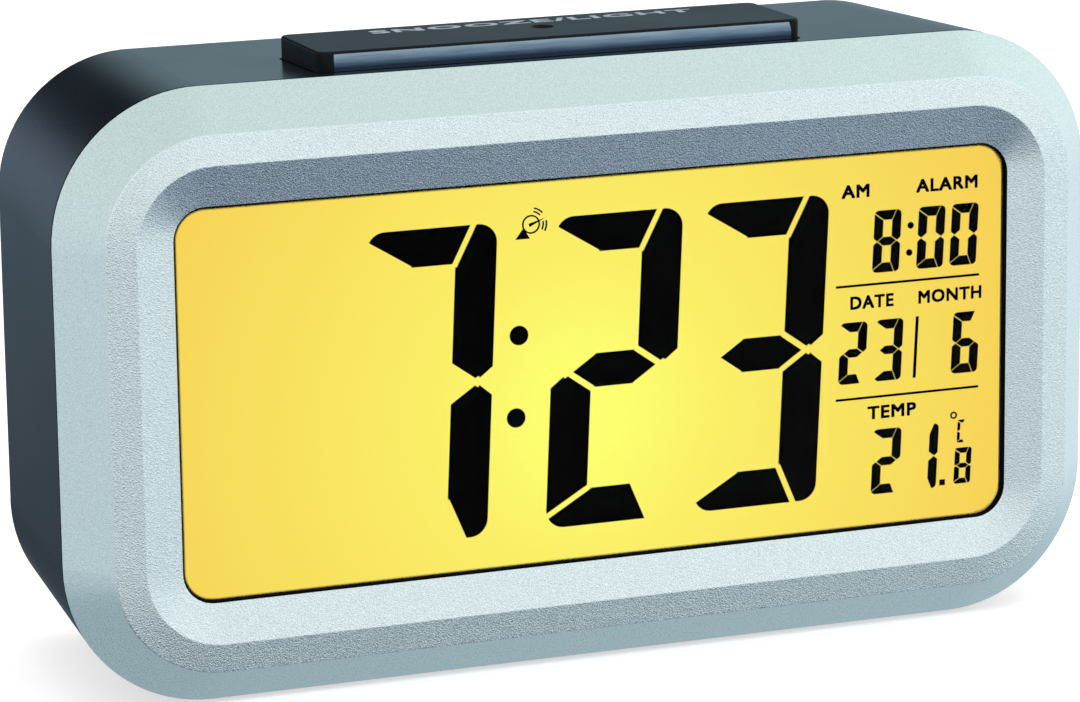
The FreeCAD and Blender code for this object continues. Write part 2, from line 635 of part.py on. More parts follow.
def display_gasket():
    """Black foam frame between the lens and the glass."""
    outer = block(-GLASS_RIGHT, GLASS_RIGHT, PLATE_Y, FRONT_FILM_Y, LEDGE_BOTTOM, GLASS_TOP)
    inner = front_slab(WINDOW_WIDTH + 2 * GASKET_SETBACK, WINDOW_HEIGHT + 2 * GASKET_SETBACK,
                       WINDOW_RADIUS + GASKET_SETBACK, PLATE_Y, FRONT_FILM_Y)
    save("display_gasket", outer.cut(inner))


def display_cell():
    """Two glass plates with a seal between them and a film on each outer face."""
    def plate(y, thickness, bottom):
        return block(-GLASS_RIGHT, GLASS_RIGHT, y, y + thickness, bottom, GLASS_TOP)

    save("front_polariser", plate(FRONT_FILM_Y, FILM_THICKNESS, LEDGE_BOTTOM))
    save("front_glass", plate(FRONT_GLASS_Y, GLASS_THICKNESS, LEDGE_BOTTOM))
    save("rear_glass", plate(REAR_GLASS_Y, GLASS_THICKNESS, GLASS_BOTTOM))
    save("rear_polariser", plate(REAR_FILM_Y, FILM_THICKNESS, GLASS_BOTTOM))
    seal = plate(CELL_Y, CELL_GAP, GLASS_BOTTOM)
    middle = block(-GLASS_RIGHT + SEAL_WIDTH, GLASS_RIGHT - SEAL_WIDTH, CELL_Y, REAR_GLASS_Y,
                   GLASS_BOTTOM + SEAL_WIDTH, GLASS_TOP - SEAL_WIDTH)
    save("cell_seal", seal.cut(middle))


# ---------------------------------------------------------------- figures
SEGMENTS = {
    "0": "abcdef", "1": "bc", "2": "abged", "3": "abgcd", "6": "acdefg", "7": "abc",
    "8": "abcdefg", "C": "adef",
}


def leaning(x0, z0, points):
    """Places a figure's points, which lean to the right as they rise."""
    return [(x0 + u + SLANT * v, z0 + v) for u, v in points]


def saw_cut(start, end, width):
    """Four corners of a thin cut between two points, run on a little at both ends."""
    run = math.hypot(end[0] - start[0], end[1] - start[1])
    du = (end[0] - start[0]) / run
    dv = (end[1] - start[1]) / run
    half = width / 2
    u0, v0 = start[0] - du * width, start[1] - dv * width
    u1, v1 = end[0] + du * half, end[1] + dv * half
    return [(u0 - dv * half, v0 + du * half), (u1 - dv * half, v1 + du * half),
            (u1 + dv * half, v1 - du * half), (u0 + dv * half, v0 - du * half)]


def figure(text, x0, z0, width, height, bars, gap, corner):
    """Segments of one seven-segment figure; bars = (side, top and bottom, middle)."""
    side, top, middle = bars
    half = height / 2
    right = width - side
    slab = (CELL_Y, REAR_GLASS_Y)
    outline = [(0, 0), (width, 0), (width, height), (0, height)]
    body = prism_y(leaning(x0, z0, outline), *slab)
    rims = edges_at(body, lambda edge: edge.BoundBox.YLength > CELL_GAP / 2)
    body = body.makeFillet(corner, rims)
    tip = side * TIP_SHARE
    notch = side * TIP_NOTCH_SHARE
    across = side * MITRE_TOP_SHARE
    down = top * MITRE_SIDE_SHARE
    cuts = [
        [(side, half + middle / 2), (right, half + middle / 2), (right, height - top), (side, height - top)],
        [(side, top), (right, top), (right, half - middle / 2), (side, half - middle / 2)],
        [(tip, half), (-gap, half + notch), (-gap, half - notch)],
        [(width - tip, half), (width + gap, half - notch), (width + gap, half + notch)],
        saw_cut((-gap, height - down), (side, height - top), gap),
        saw_cut((width - across, height + gap), (right, height - top), gap),
        saw_cut((-gap, down), (side, top), gap),
        saw_cut((width - across, -gap), (right, top), gap),
        saw_cut((tip, half), (side, half + middle / 2), gap),
        saw_cut((tip, half), (side, half - middle / 2), gap),
        saw_cut((width - tip, half), (right, half + middle / 2), gap),
        saw_cut((width - tip, half), (right, half - middle / 2), gap),
    ]
    for cut in cuts:
        body = body.cut(prism_y(leaning(x0, z0, cut), *slab))
    middles = {
        "a": (width / 2, height - top / 2), "b": (width - side / 2, height * 3 / 4),
        "c": (width - side / 2, height / 4), "d": (width / 2, top / 2),
        "e": (side / 2, height / 4), "f": (side / 2, height * 3 / 4), "g": (width / 2, half),
    }
    lit = []
    for name in SEGMENTS[text]:
        x, z = leaning(x0, z0, [middles[name]])[0]
        spot = vec(x, (CELL_Y + REAR_GLASS_Y) / 2, z)
        lit += [solid for solid in body.Solids if solid.isInside(spot, CELL_GAP / 10, False)]
    return lit


def dot(x, z, radius):
    return rod_y(x, CELL_Y, REAR_GLASS_Y, z, radius)


def thin_bar(points):
    return prism_y(points, CELL_Y, REAR_GLASS_Y)


def time_figures():
    """The large hour and minute figures and their colon."""
    last = WINDOW_WIDTH / 2 - TIME_RIGHT_MARGIN - TIME_WIDTH
    tens = last - TIME_PITCH
    hour = tens - TIME_COLON_SPACE
    bars = (TIME_SIDE_BAR, TIME_TOP_BAR, TIME_MIDDLE_BAR)
    lit = []
    for text, x in (("7", hour), ("2", tens), ("3", last)):
        lit += figure(text, x, TIME_BASE, TIME_WIDTH, TIME_HEIGHT, bars, TIME_GAP, TIME_CORNER)
    for way in (-1, 1):
        rise = COLON_HEIGHT + way * COLON_SPREAD / 2
        x, z = leaning(hour, TIME_BASE, [(COLON_FROM_HOUR, rise)])[0]
        lit.append(dot(x, z, COLON_RADIUS))
    save("time_segments", lit)
    return hour + COLON_FROM_HOUR


def side_figures():
    """Alarm time, date and temperature in the column at the right."""
    last = WINDOW_WIDTH / 2 - SIDE_COLUMN_MARGIN - SIDE_WIDTH - SLANT * SIDE_HEIGHT
    bars = (SIDE_BAR, SIDE_BAR, SIDE_MIDDLE_BAR)
    size = (SIDE_WIDTH, SIDE_HEIGHT, bars, SIDE_GAP, SIDE_CORNER)
    alarm_tens = last - ALARM_PITCH
    alarm_hour = alarm_tens - ALARM_COLON_SPACE
    lit = figure("8", alarm_hour, ALARM_BASE, *size)
    lit += figure("0", alarm_tens, ALARM_BASE, *size)
    lit += figure("0", last, ALARM_BASE, *size)
    for way in (-1, 1):
        rise = SIDE_HEIGHT / 2 + way * ALARM_DOT_SPREAD / 2
        x, z = leaning(alarm_hour, ALARM_BASE, [(ALARM_DOT_FROM_HOUR, rise)])[0]
        lit.append(dot(x, z, ALARM_DOT_RADIUS))
    save("alarm_segments", lit)

    month = last + MONTH_SHIFT
    second = month - DATE_TO_MONTH
    lit = figure("2", second - DATE_PITCH, DATE_BASE, *size)
    lit += figure("3", second, DATE_BASE, *size)
    lit += figure("6", month, DATE_BASE, *size)
    left = month - DATE_BAR_FROM_MONTH
    bar = [(left, 0), (left + DATE_BAR_WIDTH, 0), (left + DATE_BAR_WIDTH, SIDE_HEIGHT), (left, SIDE_HEIGHT)]
    lit.append(thin_bar(leaning(0, DATE_BASE, bar)))
    save("date_segments", lit)

    tenths = WINDOW_WIDTH / 2 - SIDE_COLUMN_MARGIN - TENTHS_WIDTH - TENTHS_MARGIN
    ones = tenths - POINT_FROM_TENTHS - POINT_GAP - TEMPERATURE_WIDTH
    size = (TEMPERATURE_WIDTH, TEMPERATURE_HEIGHT, bars, SIDE_GAP, SIDE_CORNER)
    lit = figure("2", ones - TEMPERATURE_PITCH, TEMPERATURE_BASE, *size)
    lit += figure("1", ones, TEMPERATURE_BASE, *size)
    bars = (TENTHS_BAR, TENTHS_BAR, TENTHS_MIDDLE_BAR)
    small = (TENTHS_WIDTH, TENTHS_HEIGHT, bars, SIDE_GAP, TENTHS_CORNER)
    tenths_foot = TEMPERATURE_BASE + TENTHS_RISE
    lit += figure("8", tenths, tenths_foot, *small)
    point = tenths - POINT_FROM_TENTHS
    lit.append(block(point, point + POINT_SIZE, CELL_Y, REAR_GLASS_Y,
                     tenths_foot, tenths_foot + POINT_SIZE))
    foot = tenths_foot + UNIT_RISE
    unit = (UNIT_WIDTH, UNIT_HEIGHT, (UNIT_BAR, UNIT_BAR, UNIT_BAR), SIDE_GAP, UNIT_BAR / 2)
    lit += figure("C", tenths + UNIT_SHIFT, foot, *unit)
    sign_z = foot + UNIT_HEIGHT + DEGREE_GAP + DEGREE_RADIUS
    sign_x = tenths + UNIT_SHIFT - DEGREE_RADIUS
    lit.append(dot(sign_x, sign_z, DEGREE_RADIUS).cut(dot(sign_x, sign_z, DEGREE_RADIUS - DEGREE_LINE)))
    save("temperature_segments", lit)


def lines_and_sign(colon_x):
    """Two lines across the side column, and the radio sign above the colon."""
    right = WINDOW_WIDTH / 2 - SIDE_COLUMN_MARGIN + SIDE_GAP
    half = RULE_WIDTH / 2
    rules = []
    for z in (RULE_TOP, RULE_LOWER):
        rules.append(block(right - RULE_LENGTH, right, CELL_Y, REAR_GLASS_Y, z - half, z + half))

    x = colon_x + DISH_FROM_COLON
    z = DISH_HEIGHT

    def outline(points):
        """Points given in radii of the dish, from its centre."""
        return [(x + u * DISH_RADIUS, z + v * DISH_RADIUS) for u, v in points]

    dish = dot(x, z, DISH_RADIUS).cut(dot(x, z, DISH_RADIUS - DISH_LINE))
    stand = thin_bar(outline([(-1.75, -1.5), (-0.15, -1.5), (-0.85, -0.35)]))
    stand = stand.cut(dot(x, z, DISH_RADIUS - DISH_LINE / 2))
    horn = thin_bar(outline([(-0.16, -0.26), (-0.26, 0.07), (1.5, 0.55)]))
    sign = [dish.fuse(stand).fuse(horn).removeSplitter()]
    for step in (1, 2):
        radius = DISH_RADIUS + DISH_LINE / 2 + step * WAVE_STEP
        wave = dot(x, z, radius).cut(dot(x, z, radius - DISH_LINE))
        far = radius * 2
        for low, high in WAVE_SPANS:
            wedge = [(x, z)]
            for angle in (math.radians(low), math.radians(high)):
                wedge.append((x + far * math.cos(angle), z + far * math.sin(angle)))
            sign += wave.common(thin_bar(wedge)).Solids
    save("display_marks", rules + sign)


# ---------------------------------------------------------------- backlight and tray
def backlight():
    """Light guide, the white sheet behind it, and a row of diodes at each end."""
    edge = WINDOW_WIDTH / 2 + GUIDE_OVERLAP
    save("light_guide", block(-edge, edge, GUIDE_Y, REFLECTOR_Y, GLASS_BOTTOM, GLASS_TOP))
    save("reflector_sheet", block(-edge, edge, REFLECTOR_Y, TRAY_Y, GLASS_BOTTOM, GLASS_TOP))
    boards = []
    diodes = []
    middle = (GUIDE_Y + REFLECTOR_Y) / 2
    for side in (-1, 1):
        near = GLASS_RIGHT + TRAY_CLEARANCE - STRIP_THICKNESS
        span = sorted((side * near, side * (near + STRIP_THICKNESS)))
        boards.append(block(*span, middle - STRIP_WIDTH / 2, middle + STRIP_WIDTH / 2,
                            -STRIP_LENGTH / 2, STRIP_LENGTH / 2))
        span = sorted((side * (near - DIODE_HEIGHT), side * near))
        for index in range(DIODE_COUNT):
            z = (index - (DIODE_COUNT - 1) / 2) * DIODE_PITCH
            diodes.append(block(*span, middle - DIODE_WIDTH / 2, middle + DIODE_WIDTH / 2,
                                z - DIODE_LENGTH / 2, z + DIODE_LENGTH / 2))
    save("backlight_strips", boards)
    save("backlight_diodes", diodes)


def display_tray():
    """Tray that holds the glass, gasket and light guide against the frame."""
    slack = TRAY_CLEARANCE
    body = block(-TRAY_RIGHT, TRAY_RIGHT, PLATE_Y, TRAY_REAR_Y, TRAY_BOTTOM, TRAY_TOP)
    depth = TRAY_REAR_Y - PLATE_Y
    body = body.makeFillet(TRAY_CORNER, edges_at(body, lambda edge: edge.BoundBox.YLength > depth / 2))
    body = body.cut(block(-GLASS_RIGHT - slack, GLASS_RIGHT + slack, PLATE_Y, REAR_GLASS_Y,
                          LEDGE_BOTTOM - slack, GLASS_TOP + slack))
    body = body.cut(block(-GLASS_RIGHT - slack, GLASS_RIGHT + slack, REAR_GLASS_Y, TRAY_Y,
                          GLASS_BOTTOM, GLASS_TOP + slack))
    body = body.cut(block(-ZEBRA_LENGTH / 2 - slack, ZEBRA_LENGTH / 2 + slack, CELL_Y, TRAY_REAR_Y,
                          ZEBRA_TOP - ZEBRA_THICKNESS - slack, ZEBRA_TOP + slack / 2))
    half = TRAY_TAB_WIDTH / 2
    for x, z in tray_screw_places():
        if abs(x) > TRAY_RIGHT:
            near = math.copysign(TRAY_RIGHT - TRAY_WALL / 2, x)
            far = x + math.copysign(TRAY_TAB_REACH, x)
            tab = block(min(near, far), max(near, far), TRAY_TAB_Y, TRAY_REAR_Y, z - half, z + half)
        else:
            tab = block(x - half, x + half, TRAY_TAB_Y, TRAY_REAR_Y,
                        TRAY_TOP - TRAY_WALL / 2, z + TRAY_TAB_REACH)
        body = body.fuse(tab)
        body = body.cut(rod_y(x, TRAY_TAB_Y, TRAY_REAR_Y, z, SCREW_RADIUS + SCREW_PASS_SLACK))
    for x, z in main_board_places():
        body = body.fuse(rod_y(x, TRAY_Y, MAIN_BOARD_Y, z, POST_RADIUS))
        body = body.cut(rod_y(x, TRAY_Y + POST_HOLE_FLOOR, MAIN_BOARD_Y, z, SCREW_RADIUS + SCREW_HOLE_SLACK))
    save("display_tray", body.removeSplitter())
    connector = block(-ZEBRA_LENGTH / 2, ZEBRA_LENGTH / 2, CELL_Y, MAIN_BOARD_Y,
                      ZEBRA_TOP - ZEBRA_THICKNESS, ZEBRA_TOP)
    save("zebra_connector", connector)


# ---------------------------------------------------------------- main board
def board_y(x0, x1, y, z0, z1, thickness, holes):
    body = block(x0, x1, y, y + thickness, z0, z1)
    for x, z in holes:
        body = body.cut(rod_y(x, y, y + thickness, z, SCREW_RADIUS + SCREW_PASS_SLACK))
    return body


def main_board():
    """Main circuit board on the tray's posts, with the parts on its rear side."""
    half = MAIN_BOARD_WIDTH / 2
    rear = MAIN_BOARD_REAR_Y
    save("main_board", board_y(-half, half, MAIN_BOARD_Y, MAIN_BOARD_BOTTOM, MAIN_BOARD_TOP,
                               BOARD_THICKNESS, main_board_places()))
    drop = rod_y(0, rear, rear + BLOB_HEIGHT, 0, BLOB_RADIUS)
    rim = edges_at(drop, lambda edge: flat_at_y(edge, rear + BLOB_HEIGHT))
    save("controller_blob", drop.makeFillet(BLOB_ROUND, rim))
    crystal_x = BLOB_RADIUS + CRYSTAL_FROM_BLOB
    save("crystal", rod_x(crystal_x, crystal_x + CRYSTAL_LENGTH, rear + CRYSTAL_RADIUS, 0, CRYSTAL_RADIUS))
    cans = []
    for index in range(CAPACITOR_COUNT):
        x = -BLOB_RADIUS - CAPACITOR_PITCH * (index + 1)
        can = rod_y(x, rear, rear + CAPACITOR_HEIGHT, CAPACITOR_Z, CAPACITOR_RADIUS)
        rim = edges_at(can, lambda edge: flat_at_y(edge, rear + CAPACITOR_HEIGHT))
        cans.append(can.makeFillet(SMALL_ROUND, rim))
    save("capacitors", cans)
    left = crystal_x + CRYSTAL_LENGTH + RADIO_FROM_CRYSTAL
    seat = rear + HEADER_HEIGHT
    header = block(left, left + RADIO_BOARD_WIDTH, rear, seat, 0.0, HEADER_HEIGHT)
    board = block(left, left + RADIO_BOARD_WIDTH, seat, seat + RADIO_BOARD_THICKNESS,
                  -RADIO_EDGE, RADIO_BOARD_HEIGHT - RADIO_EDGE)
    save("radio_board", [header, board])


# ---------------------------------------------------------------- press bar
def bar_end(side, out=0.0):
    return BAR_CENTRE_X + side * (BAR_LENGTH / 2 + out)


def strip_outline(back):
    """Section of the front strip: a sloping band above a plain band, as (y, z)."""
    top = BAR_TOP_Z - STRIP_TOP_EDGE
    fold = top - STRIP_LIGHT_BAND
    bottom = BAR_TOP_Z - BAR_RISE - STRIP_HIDDEN
    front = BAR_FRONT_Y + STRIP_SETBACK
    return [(front + STRIP_SLOPE_BACK, top), (front, fold), (front, bottom), (back, bottom), (back, top)]


def prism_x(points, x0, x1):
    """Straight-sided prism whose outline is a list of (y, z)."""
    corners = [vec(x0, y, z) for y, z in points]
    return Part.Face(Part.makePolygon(corners + corners[:1])).extrude(vec(x1 - x0, 0, 0))


def press_bar():
    """Long press bar: a hollow cap with a skirt, two end tabs, pegs and a switch leg."""
    body = top_slab(BAR_LENGTH, BAR_DEPTH, BAR_CORNER, BAR_BOTTOM_Z, BAR_TOP_Z, BAR_CENTRE_X, BAR_CENTRE_Y)
    rim = edges_at(body, lambda edge: abs(edge.BoundBox.ZMin - BAR_TOP_Z) < TOUCH)
    body = body.makeFillet(BAR_TOP_ROUND, rim)
    ceiling = BAR_TOP_Z - BAR_TOP_WALL
    body = body.cut(block(bar_end(-1, -BAR_WALL), bar_end(1, -BAR_WALL), BAR_FRONT_Y + BAR_WALL,
                          BAR_REAR_Y - BAR_WALL, BAR_BOTTOM_Z, ceiling))
    tab_top = TOP_WALL_Z - BAR_STOP_GAP
    tab_front = BAR_CENTRE_Y - BAR_TAB_WIDTH / 2
    for side in (-1, 1):
        inner, outer = sorted((bar_end(side, -BAR_WALL), bar_end(side, BAR_TAB_LENGTH)))
        body = body.fuse(block(inner, outer, tab_front, tab_front + BAR_TAB_WIDTH,
                               tab_top - BAR_TAB_THICKNESS, tab_top))
        peg_x = BAR_CENTRE_X + side * SPRING_FROM_CENTRE
        body = body.fuse(rod_z(peg_x, BAR_CENTRE_Y, ceiling - SPRING_PEG_LENGTH, ceiling, SPRING_PEG_RADIUS))
    switch_x = BAR_CENTRE_X + SNOOZE_SWITCH_X
    tip = SNOOZE_BOARD_Z + SWITCH_HEIGHT + PLUNGER_PROUD
    body = body.fuse(rod_z(switch_x, BAR_CENTRE_Y, tip, ceiling, PLUNGER_RADIUS))
    body = body.cut(rod_z(BAR_CENTRE_X, BAR_CENTRE_Y, ceiling, BAR_TOP_Z, SENSOR_HOLE_RADIUS))
    dish = Part.makeCone(SENSOR_HOLE_RADIUS, SENSOR_DISH_RADIUS, SENSOR_DISH_DEPTH,
                         vec(BAR_CENTRE_X, BAR_CENTRE_Y, BAR_TOP_Z - SENSOR_DISH_DEPTH), vec(0, 0, 1))
    body = body.cut(dish)
    seat = STRIP_SEAT_CLEARANCE
    pocket = strip_outline(BAR_FRONT_Y + STRIP_DEPTH + seat)
    floor = pocket[2][1] - seat
    roof = pocket[0][1] + seat
    body = body.cut(block(bar_end(-1, -STRIP_INSET_LEFT) - seat, bar_end(1, -STRIP_INSET_RIGHT) + seat,
                          BAR_FRONT_Y, BAR_FRONT_Y + STRIP_DEPTH + seat, floor, roof))
    save("press_bar", body.removeSplitter())
    save("press_bar_strip", prism_x(strip_outline(BAR_FRONT_Y + STRIP_DEPTH),
                                    bar_end(-1, -STRIP_INSET_LEFT), bar_end(1, -STRIP_INSET_RIGHT)))


def coil_spring(x, y, z0, z1):
    """Round-wire spring standing between z0 and z1, lofted through sections of its wire."""
    rise = z1 - z0 - SPRING_WIRE
    steps = SPRING_TURNS * SPRING_STEPS
    climb = rise / (2 * math.pi * SPRING_TURNS)
    sections = []
    for step in range(steps + 1):
        turn = 2 * math.pi * step / SPRING_STEPS
        place = vec(x + SPRING_RADIUS * math.cos(turn), y + SPRING_RADIUS * math.sin(turn),
                    z0 + SPRING_WIRE / 2 + climb * turn)
        along = vec(-SPRING_RADIUS * math.sin(turn), SPRING_RADIUS * math.cos(turn), climb)
        sections.append(Part.Wire(Part.makeCircle(SPRING_WIRE / 2, place, along)))
    return loft(sections)


def switch_y(x, z, seat_y):
    """Tactile switch on a board that faces the rear; the hole takes its plunger."""
    half = SWITCH_SIZE / 2
    body = block(x - half, x + half, seat_y, seat_y + SWITCH_HEIGHT, z - half, z + half)
    hole = rod_y(x, seat_y + SWITCH_HEIGHT - PLUNGER_DEPTH - KEY_TRAVEL - PLUNGER_CLEARANCE,
                 seat_y + SWITCH_HEIGHT, z, PLUNGER_RADIUS + PLUNGER_CLEARANCE)
    return body.cut(hole)


def snooze_board():
    """Small board under the bar with its switch, springs and light sensor."""
    places = snooze_board_places()
    y0 = BAR_FRONT_Y + SNOOZE_BOARD_SETBACK
    x0 = places[0][0] - POST_RADIUS - BOARD_EDGE
    x1 = places[1][0] + POST_RADIUS + BOARD_EDGE
    board = block(x0, x1, y0, y0 + SNOOZE_BOARD_DEPTH, SNOOZE_BOARD_Z - BOARD_THICKNESS, SNOOZE_BOARD_Z)
    for x, y in places:
        board = board.cut(rod_z(x, y, SNOOZE_BOARD_Z - BOARD_THICKNESS, SNOOZE_BOARD_Z,
                                SCREW_RADIUS + SCREW_PASS_SLACK))
    save("snooze_board", board)
    x = BAR_CENTRE_X + SNOOZE_SWITCH_X
    half = SWITCH_SIZE / 2
    top = SNOOZE_BOARD_Z + SWITCH_HEIGHT
    body = block(x - half, x + half, BAR_CENTRE_Y - half, BAR_CENTRE_Y + half, SNOOZE_BOARD_Z, top)
    body = body.cut(rod_z(x, BAR_CENTRE_Y, top - PLUNGER_DEPTH - BAR_TRAVEL - PLUNGER_CLEARANCE, top,
                          PLUNGER_RADIUS + PLUNGER_CLEARANCE))
    save("snooze_switch", body)
    save("snooze_plunger", rod_z(x, BAR_CENTRE_Y, top - PLUNGER_DEPTH, top + PLUNGER_PROUD, PLUNGER_RADIUS))
    ceiling = BAR_TOP_Z - BAR_TOP_WALL
    save("bar_springs", [coil_spring(BAR_CENTRE_X + side * SPRING_FROM_CENTRE, BAR_CENTRE_Y,
                                     SNOOZE_BOARD_Z + SPRING_END_GAP, ceiling - SPRING_END_GAP)
                         for side in (-1, 1)])
    sensor = rod_z(BAR_CENTRE_X, BAR_CENTRE_Y, SNOOZE_BOARD_Z, SNOOZE_BOARD_Z + SENSOR_HEIGHT, SENSOR_RADIUS)
    dome = Part.makeSphere(SENSOR_RADIUS, vec(BAR_CENTRE_X, BAR_CENTRE_Y, SNOOZE_BOARD_Z + SENSOR_HEIGHT))
    save("light_sensor", sensor.fuse(dome).removeSplitter())


# ---------------------------------------------------------------- rear keys and slide
def rear_keys():
    """One cap and one switch plunger for each key, and the board behind them."""
    switches = []
    for number, (x, z) in enumerate(key_places(), start=1):
        cap = front_slab(KEY_WIDTH, KEY_HEIGHT, KEY_CORNER, KEY_FLANGE_Y, REAR_Y, x, z)
        cap = cap.makeFillet(KEY_ROUND, edges_at(cap, lambda edge: flat_at_y(edge, REAR_Y)))
        flange = front_slab(KEY_WIDTH + 2 * KEY_FLANGE, KEY_HEIGHT + 2 * KEY_FLANGE, KEY_CORNER + KEY_FLANGE,
                            KEY_FLANGE_Y, KEY_FLANGE_Y + KEY_FLANGE_THICKNESS, x, z)
        stem = rod_y(x, PLUNGER_TIP_Y, KEY_FLANGE_Y, z, KEY_STEM_RADIUS)
        save("key_%d" % number, cap.fuse(flange).fuse(stem).removeSplitter())
        save("key_plunger_%d" % number,
             rod_y(x, PLUNGER_TIP_Y - PLUNGER_PROUD - PLUNGER_DEPTH, PLUNGER_TIP_Y, z, PLUNGER_RADIUS))
        switches.append(switch_y(x, z, KEY_SWITCH_Y))
    save("key_switches", switches)
    foot = KEY_ROW_Z - KEY_BOARD_HEIGHT / 2
    save("key_board", board_y(KEY_BOARD_LEFT, KEY_BOARD_RIGHT, KEY_BOARD_Y, foot, foot + KEY_BOARD_HEIGHT,
                              BOARD_THICKNESS, key_board_places()))


def slide_switch():
    """Slide switch on the key board; its knob shows in a sunk slot in the rear face."""
    z = KEY_ROW_Z
    front = KEY_SWITCH_Y
    back = front + SLIDE_BODY_DEPTH
    body = block(SLIDE_X - SLIDE_BODY_WIDTH / 2, SLIDE_X + SLIDE_BODY_WIDTH / 2, front, back,
                 z - SLIDE_BODY_HEIGHT / 2, z + SLIDE_BODY_HEIGHT / 2)
    half = SLIDE_KNOB_WIDTH / 2
    reach = SLIDE_TRAVEL / 2
    slack = PLUNGER_CLEARANCE
    body = body.cut(block(SLIDE_X - reach - half - slack, SLIDE_X + reach + half + slack,
                          back - SLIDE_FOOT_DEPTH - slack, back,
                          z - SLIDE_KNOB_HEIGHT / 2 - slack, z + SLIDE_KNOB_HEIGHT / 2 + slack))
    save("slide_switch_body", body)
    knob = block(SLIDE_X - reach - half, SLIDE_X - reach + half, back - SLIDE_FOOT_DEPTH, CASE_DEPTH,
                 z - SLIDE_KNOB_HEIGHT / 2, z + SLIDE_KNOB_HEIGHT / 2)
    knob = knob.makeFillet(SMALL_ROUND, edges_at(knob, lambda edge: flat_at_y(edge, CASE_DEPTH)))
    save("slide_switch_knob", knob)


# ---------------------------------------------------------------- speaker
def speaker():
    """Small speaker behind the slots: basket, cone and magnet."""
    rear = REAR_INNER_Y
    x, z = SPEAKER_X, SPEAKER_Z
    front = rear - SPEAKER_HEIGHT
    basket = rod_y(x, front, rear, z, SPEAKER_RADIUS)
    basket = basket.cut(rod_y(x, front + SPEAKER_SHELL, rear, z, SPEAKER_RADIUS - SPEAKER_RIM))
    save("speaker_basket", basket)
    save("speaker_magnet", rod_y(x, front - SPEAKER_MAGNET_HEIGHT, front, z, SPEAKER_MAGNET_RADIUS))
    outer = SPEAKER_RADIUS - SPEAKER_RIM
    edge = rear - CONE_THICKNESS - CONE_SETBACK
    section = [(CONE_CAP_RADIUS, edge - CONE_DEPTH), (outer, edge), (outer, edge + CONE_THICKNESS),
               (CONE_CAP_RADIUS, edge - CONE_DEPTH + CONE_THICKNESS)]
    corners = [vec(x + radius, y, z) for radius, y in section]
    cone = Part.Face(Part.makePolygon(corners + corners[:1])).revolve(vec(x, 0, z), vec(0, 1, 0), 360)
    cap = rod_y(x, edge - CONE_DEPTH, edge - CONE_DEPTH + CONE_THICKNESS, z, CONE_CAP_RADIUS)
    save("speaker_cone", cone.fuse(cap).removeSplitter())


# ---------------------------------------------------------------- batteries and door
def cell_heights():
    first = DOOR_CENTRE_Z - (CELL_COUNT - 1) / 2 * CELL_STEP
    return [first + index * CELL_STEP for index in range(CELL_COUNT)]


def batteries():
    """Three cells lying across the clock, each pressed against its flat contact."""
    cells = []
    flats = []
    springs = []
    half = BOX_INNER_LENGTH / 2
    y = CELL_Y_AXIS
    reach = CONTACT_SIZE / 2

    def contact_plate(x0, x1, z):
        return block(min(x0, x1), max(x0, x1), y - reach, y + reach, z - reach, z + reach)

    for index, z in enumerate(cell_heights()):
        way = 1 if index % 2 == 0 else -1
        tip = way * (half - CONTACT_THICKNESS)
        shoulder = tip - way * CELL_NUB_LENGTH
        tail = tip - way * CELL_LENGTH
        can = rod_x(min(shoulder, tail), max(shoulder, tail), y, z, CELL_RADIUS)
        can = can.makeFillet(CELL_EDGE, edges_at(can, lambda edge: edge.BoundBox.XLength < TOUCH))
        cells.append(can.fuse(rod_x(min(shoulder, tip), max(shoulder, tip), y, z, CELL_NUB_RADIUS)))
        flats.append(contact_plate(way * half, tip, z))
        wall = -way * half
        face = wall + way * CONTACT_THICKNESS
        springs.append(contact_plate(wall, face, z).fuse(leaf(face, tail, way, y, z)))
    save("batteries", cells)
    save("flat_contacts", flats)
    save("spring_contacts", springs)


def leaf(face, tail, way, y, z):
    """Arched strip that pushes a cell: outer arc less inner arc."""
    reach = abs(tail - face)
    half = CONTACT_SIZE / 2
    radius = (half * half + reach * reach) / (2 * reach)
    centre = tail - way * radius
    foot = z - LEAF_WIDTH / 2
    outer = rod_z(centre, y, foot, foot + LEAF_WIDTH, radius)
    inner = rod_z(centre, y, foot, foot + LEAF_WIDTH, radius - CONTACT_THICKNESS)
    span = sorted((face - way * LEAF_BITE, tail + way * LEAF_BITE))
    window = block(*span, y - half, y + half, foot, foot + LEAF_WIDTH)
    return outer.cut(inner).common(window)


def door_slab(grow, y0, y1):
    """Outline of the battery door, grown all round."""
    return front_slab(DOOR_WIDTH + 2 * grow, DOOR_HEIGHT + 2 * grow, DOOR_CORNER + grow,
                      y0, y1, 0.0, DOOR_CENTRE_Z)


def battery_door():
    """Flat door that sits flush in the rear face and swings on two tabs."""
    body = door_slab(0.0, REAR_INNER_Y, CASE_DEPTH)
    drop = DOOR_BOTTOM_Z - DOOR_TAB_DROP
    for side in (-1, 1):
        x0 = side * DOOR_TAB_X - DOOR_TAB_WIDTH / 2
        tab = block(x0, x0 + DOOR_TAB_WIDTH, REAR_INNER_Y - DOOR_TAB_THICKNESS - DOOR_CLEARANCE,
                    REAR_INNER_Y - DOOR_CLEARANCE, drop, DOOR_BOTTOM_Z + DOOR_TAB_DROP)
        neck = block(x0, x0 + DOOR_TAB_WIDTH, REAR_INNER_Y - DOOR_TAB_THICKNESS - DOOR_CLEARANCE,
                     REAR_INNER_Y, DOOR_BOTTOM_Z, DOOR_BOTTOM_Z + DOOR_TAB_DROP)
        body = body.fuse(tab).fuse(neck)
    top = DOOR_BOTTOM_Z + DOOR_HEIGHT
    grip = rod_y(0, CASE_DEPTH - DOOR_NOTCH_DEPTH, CASE_DEPTH, top - DOOR_LEDGE, DOOR_NOTCH_RADIUS)
    body = body.cut(grip)
    save("battery_door", body.removeSplitter())


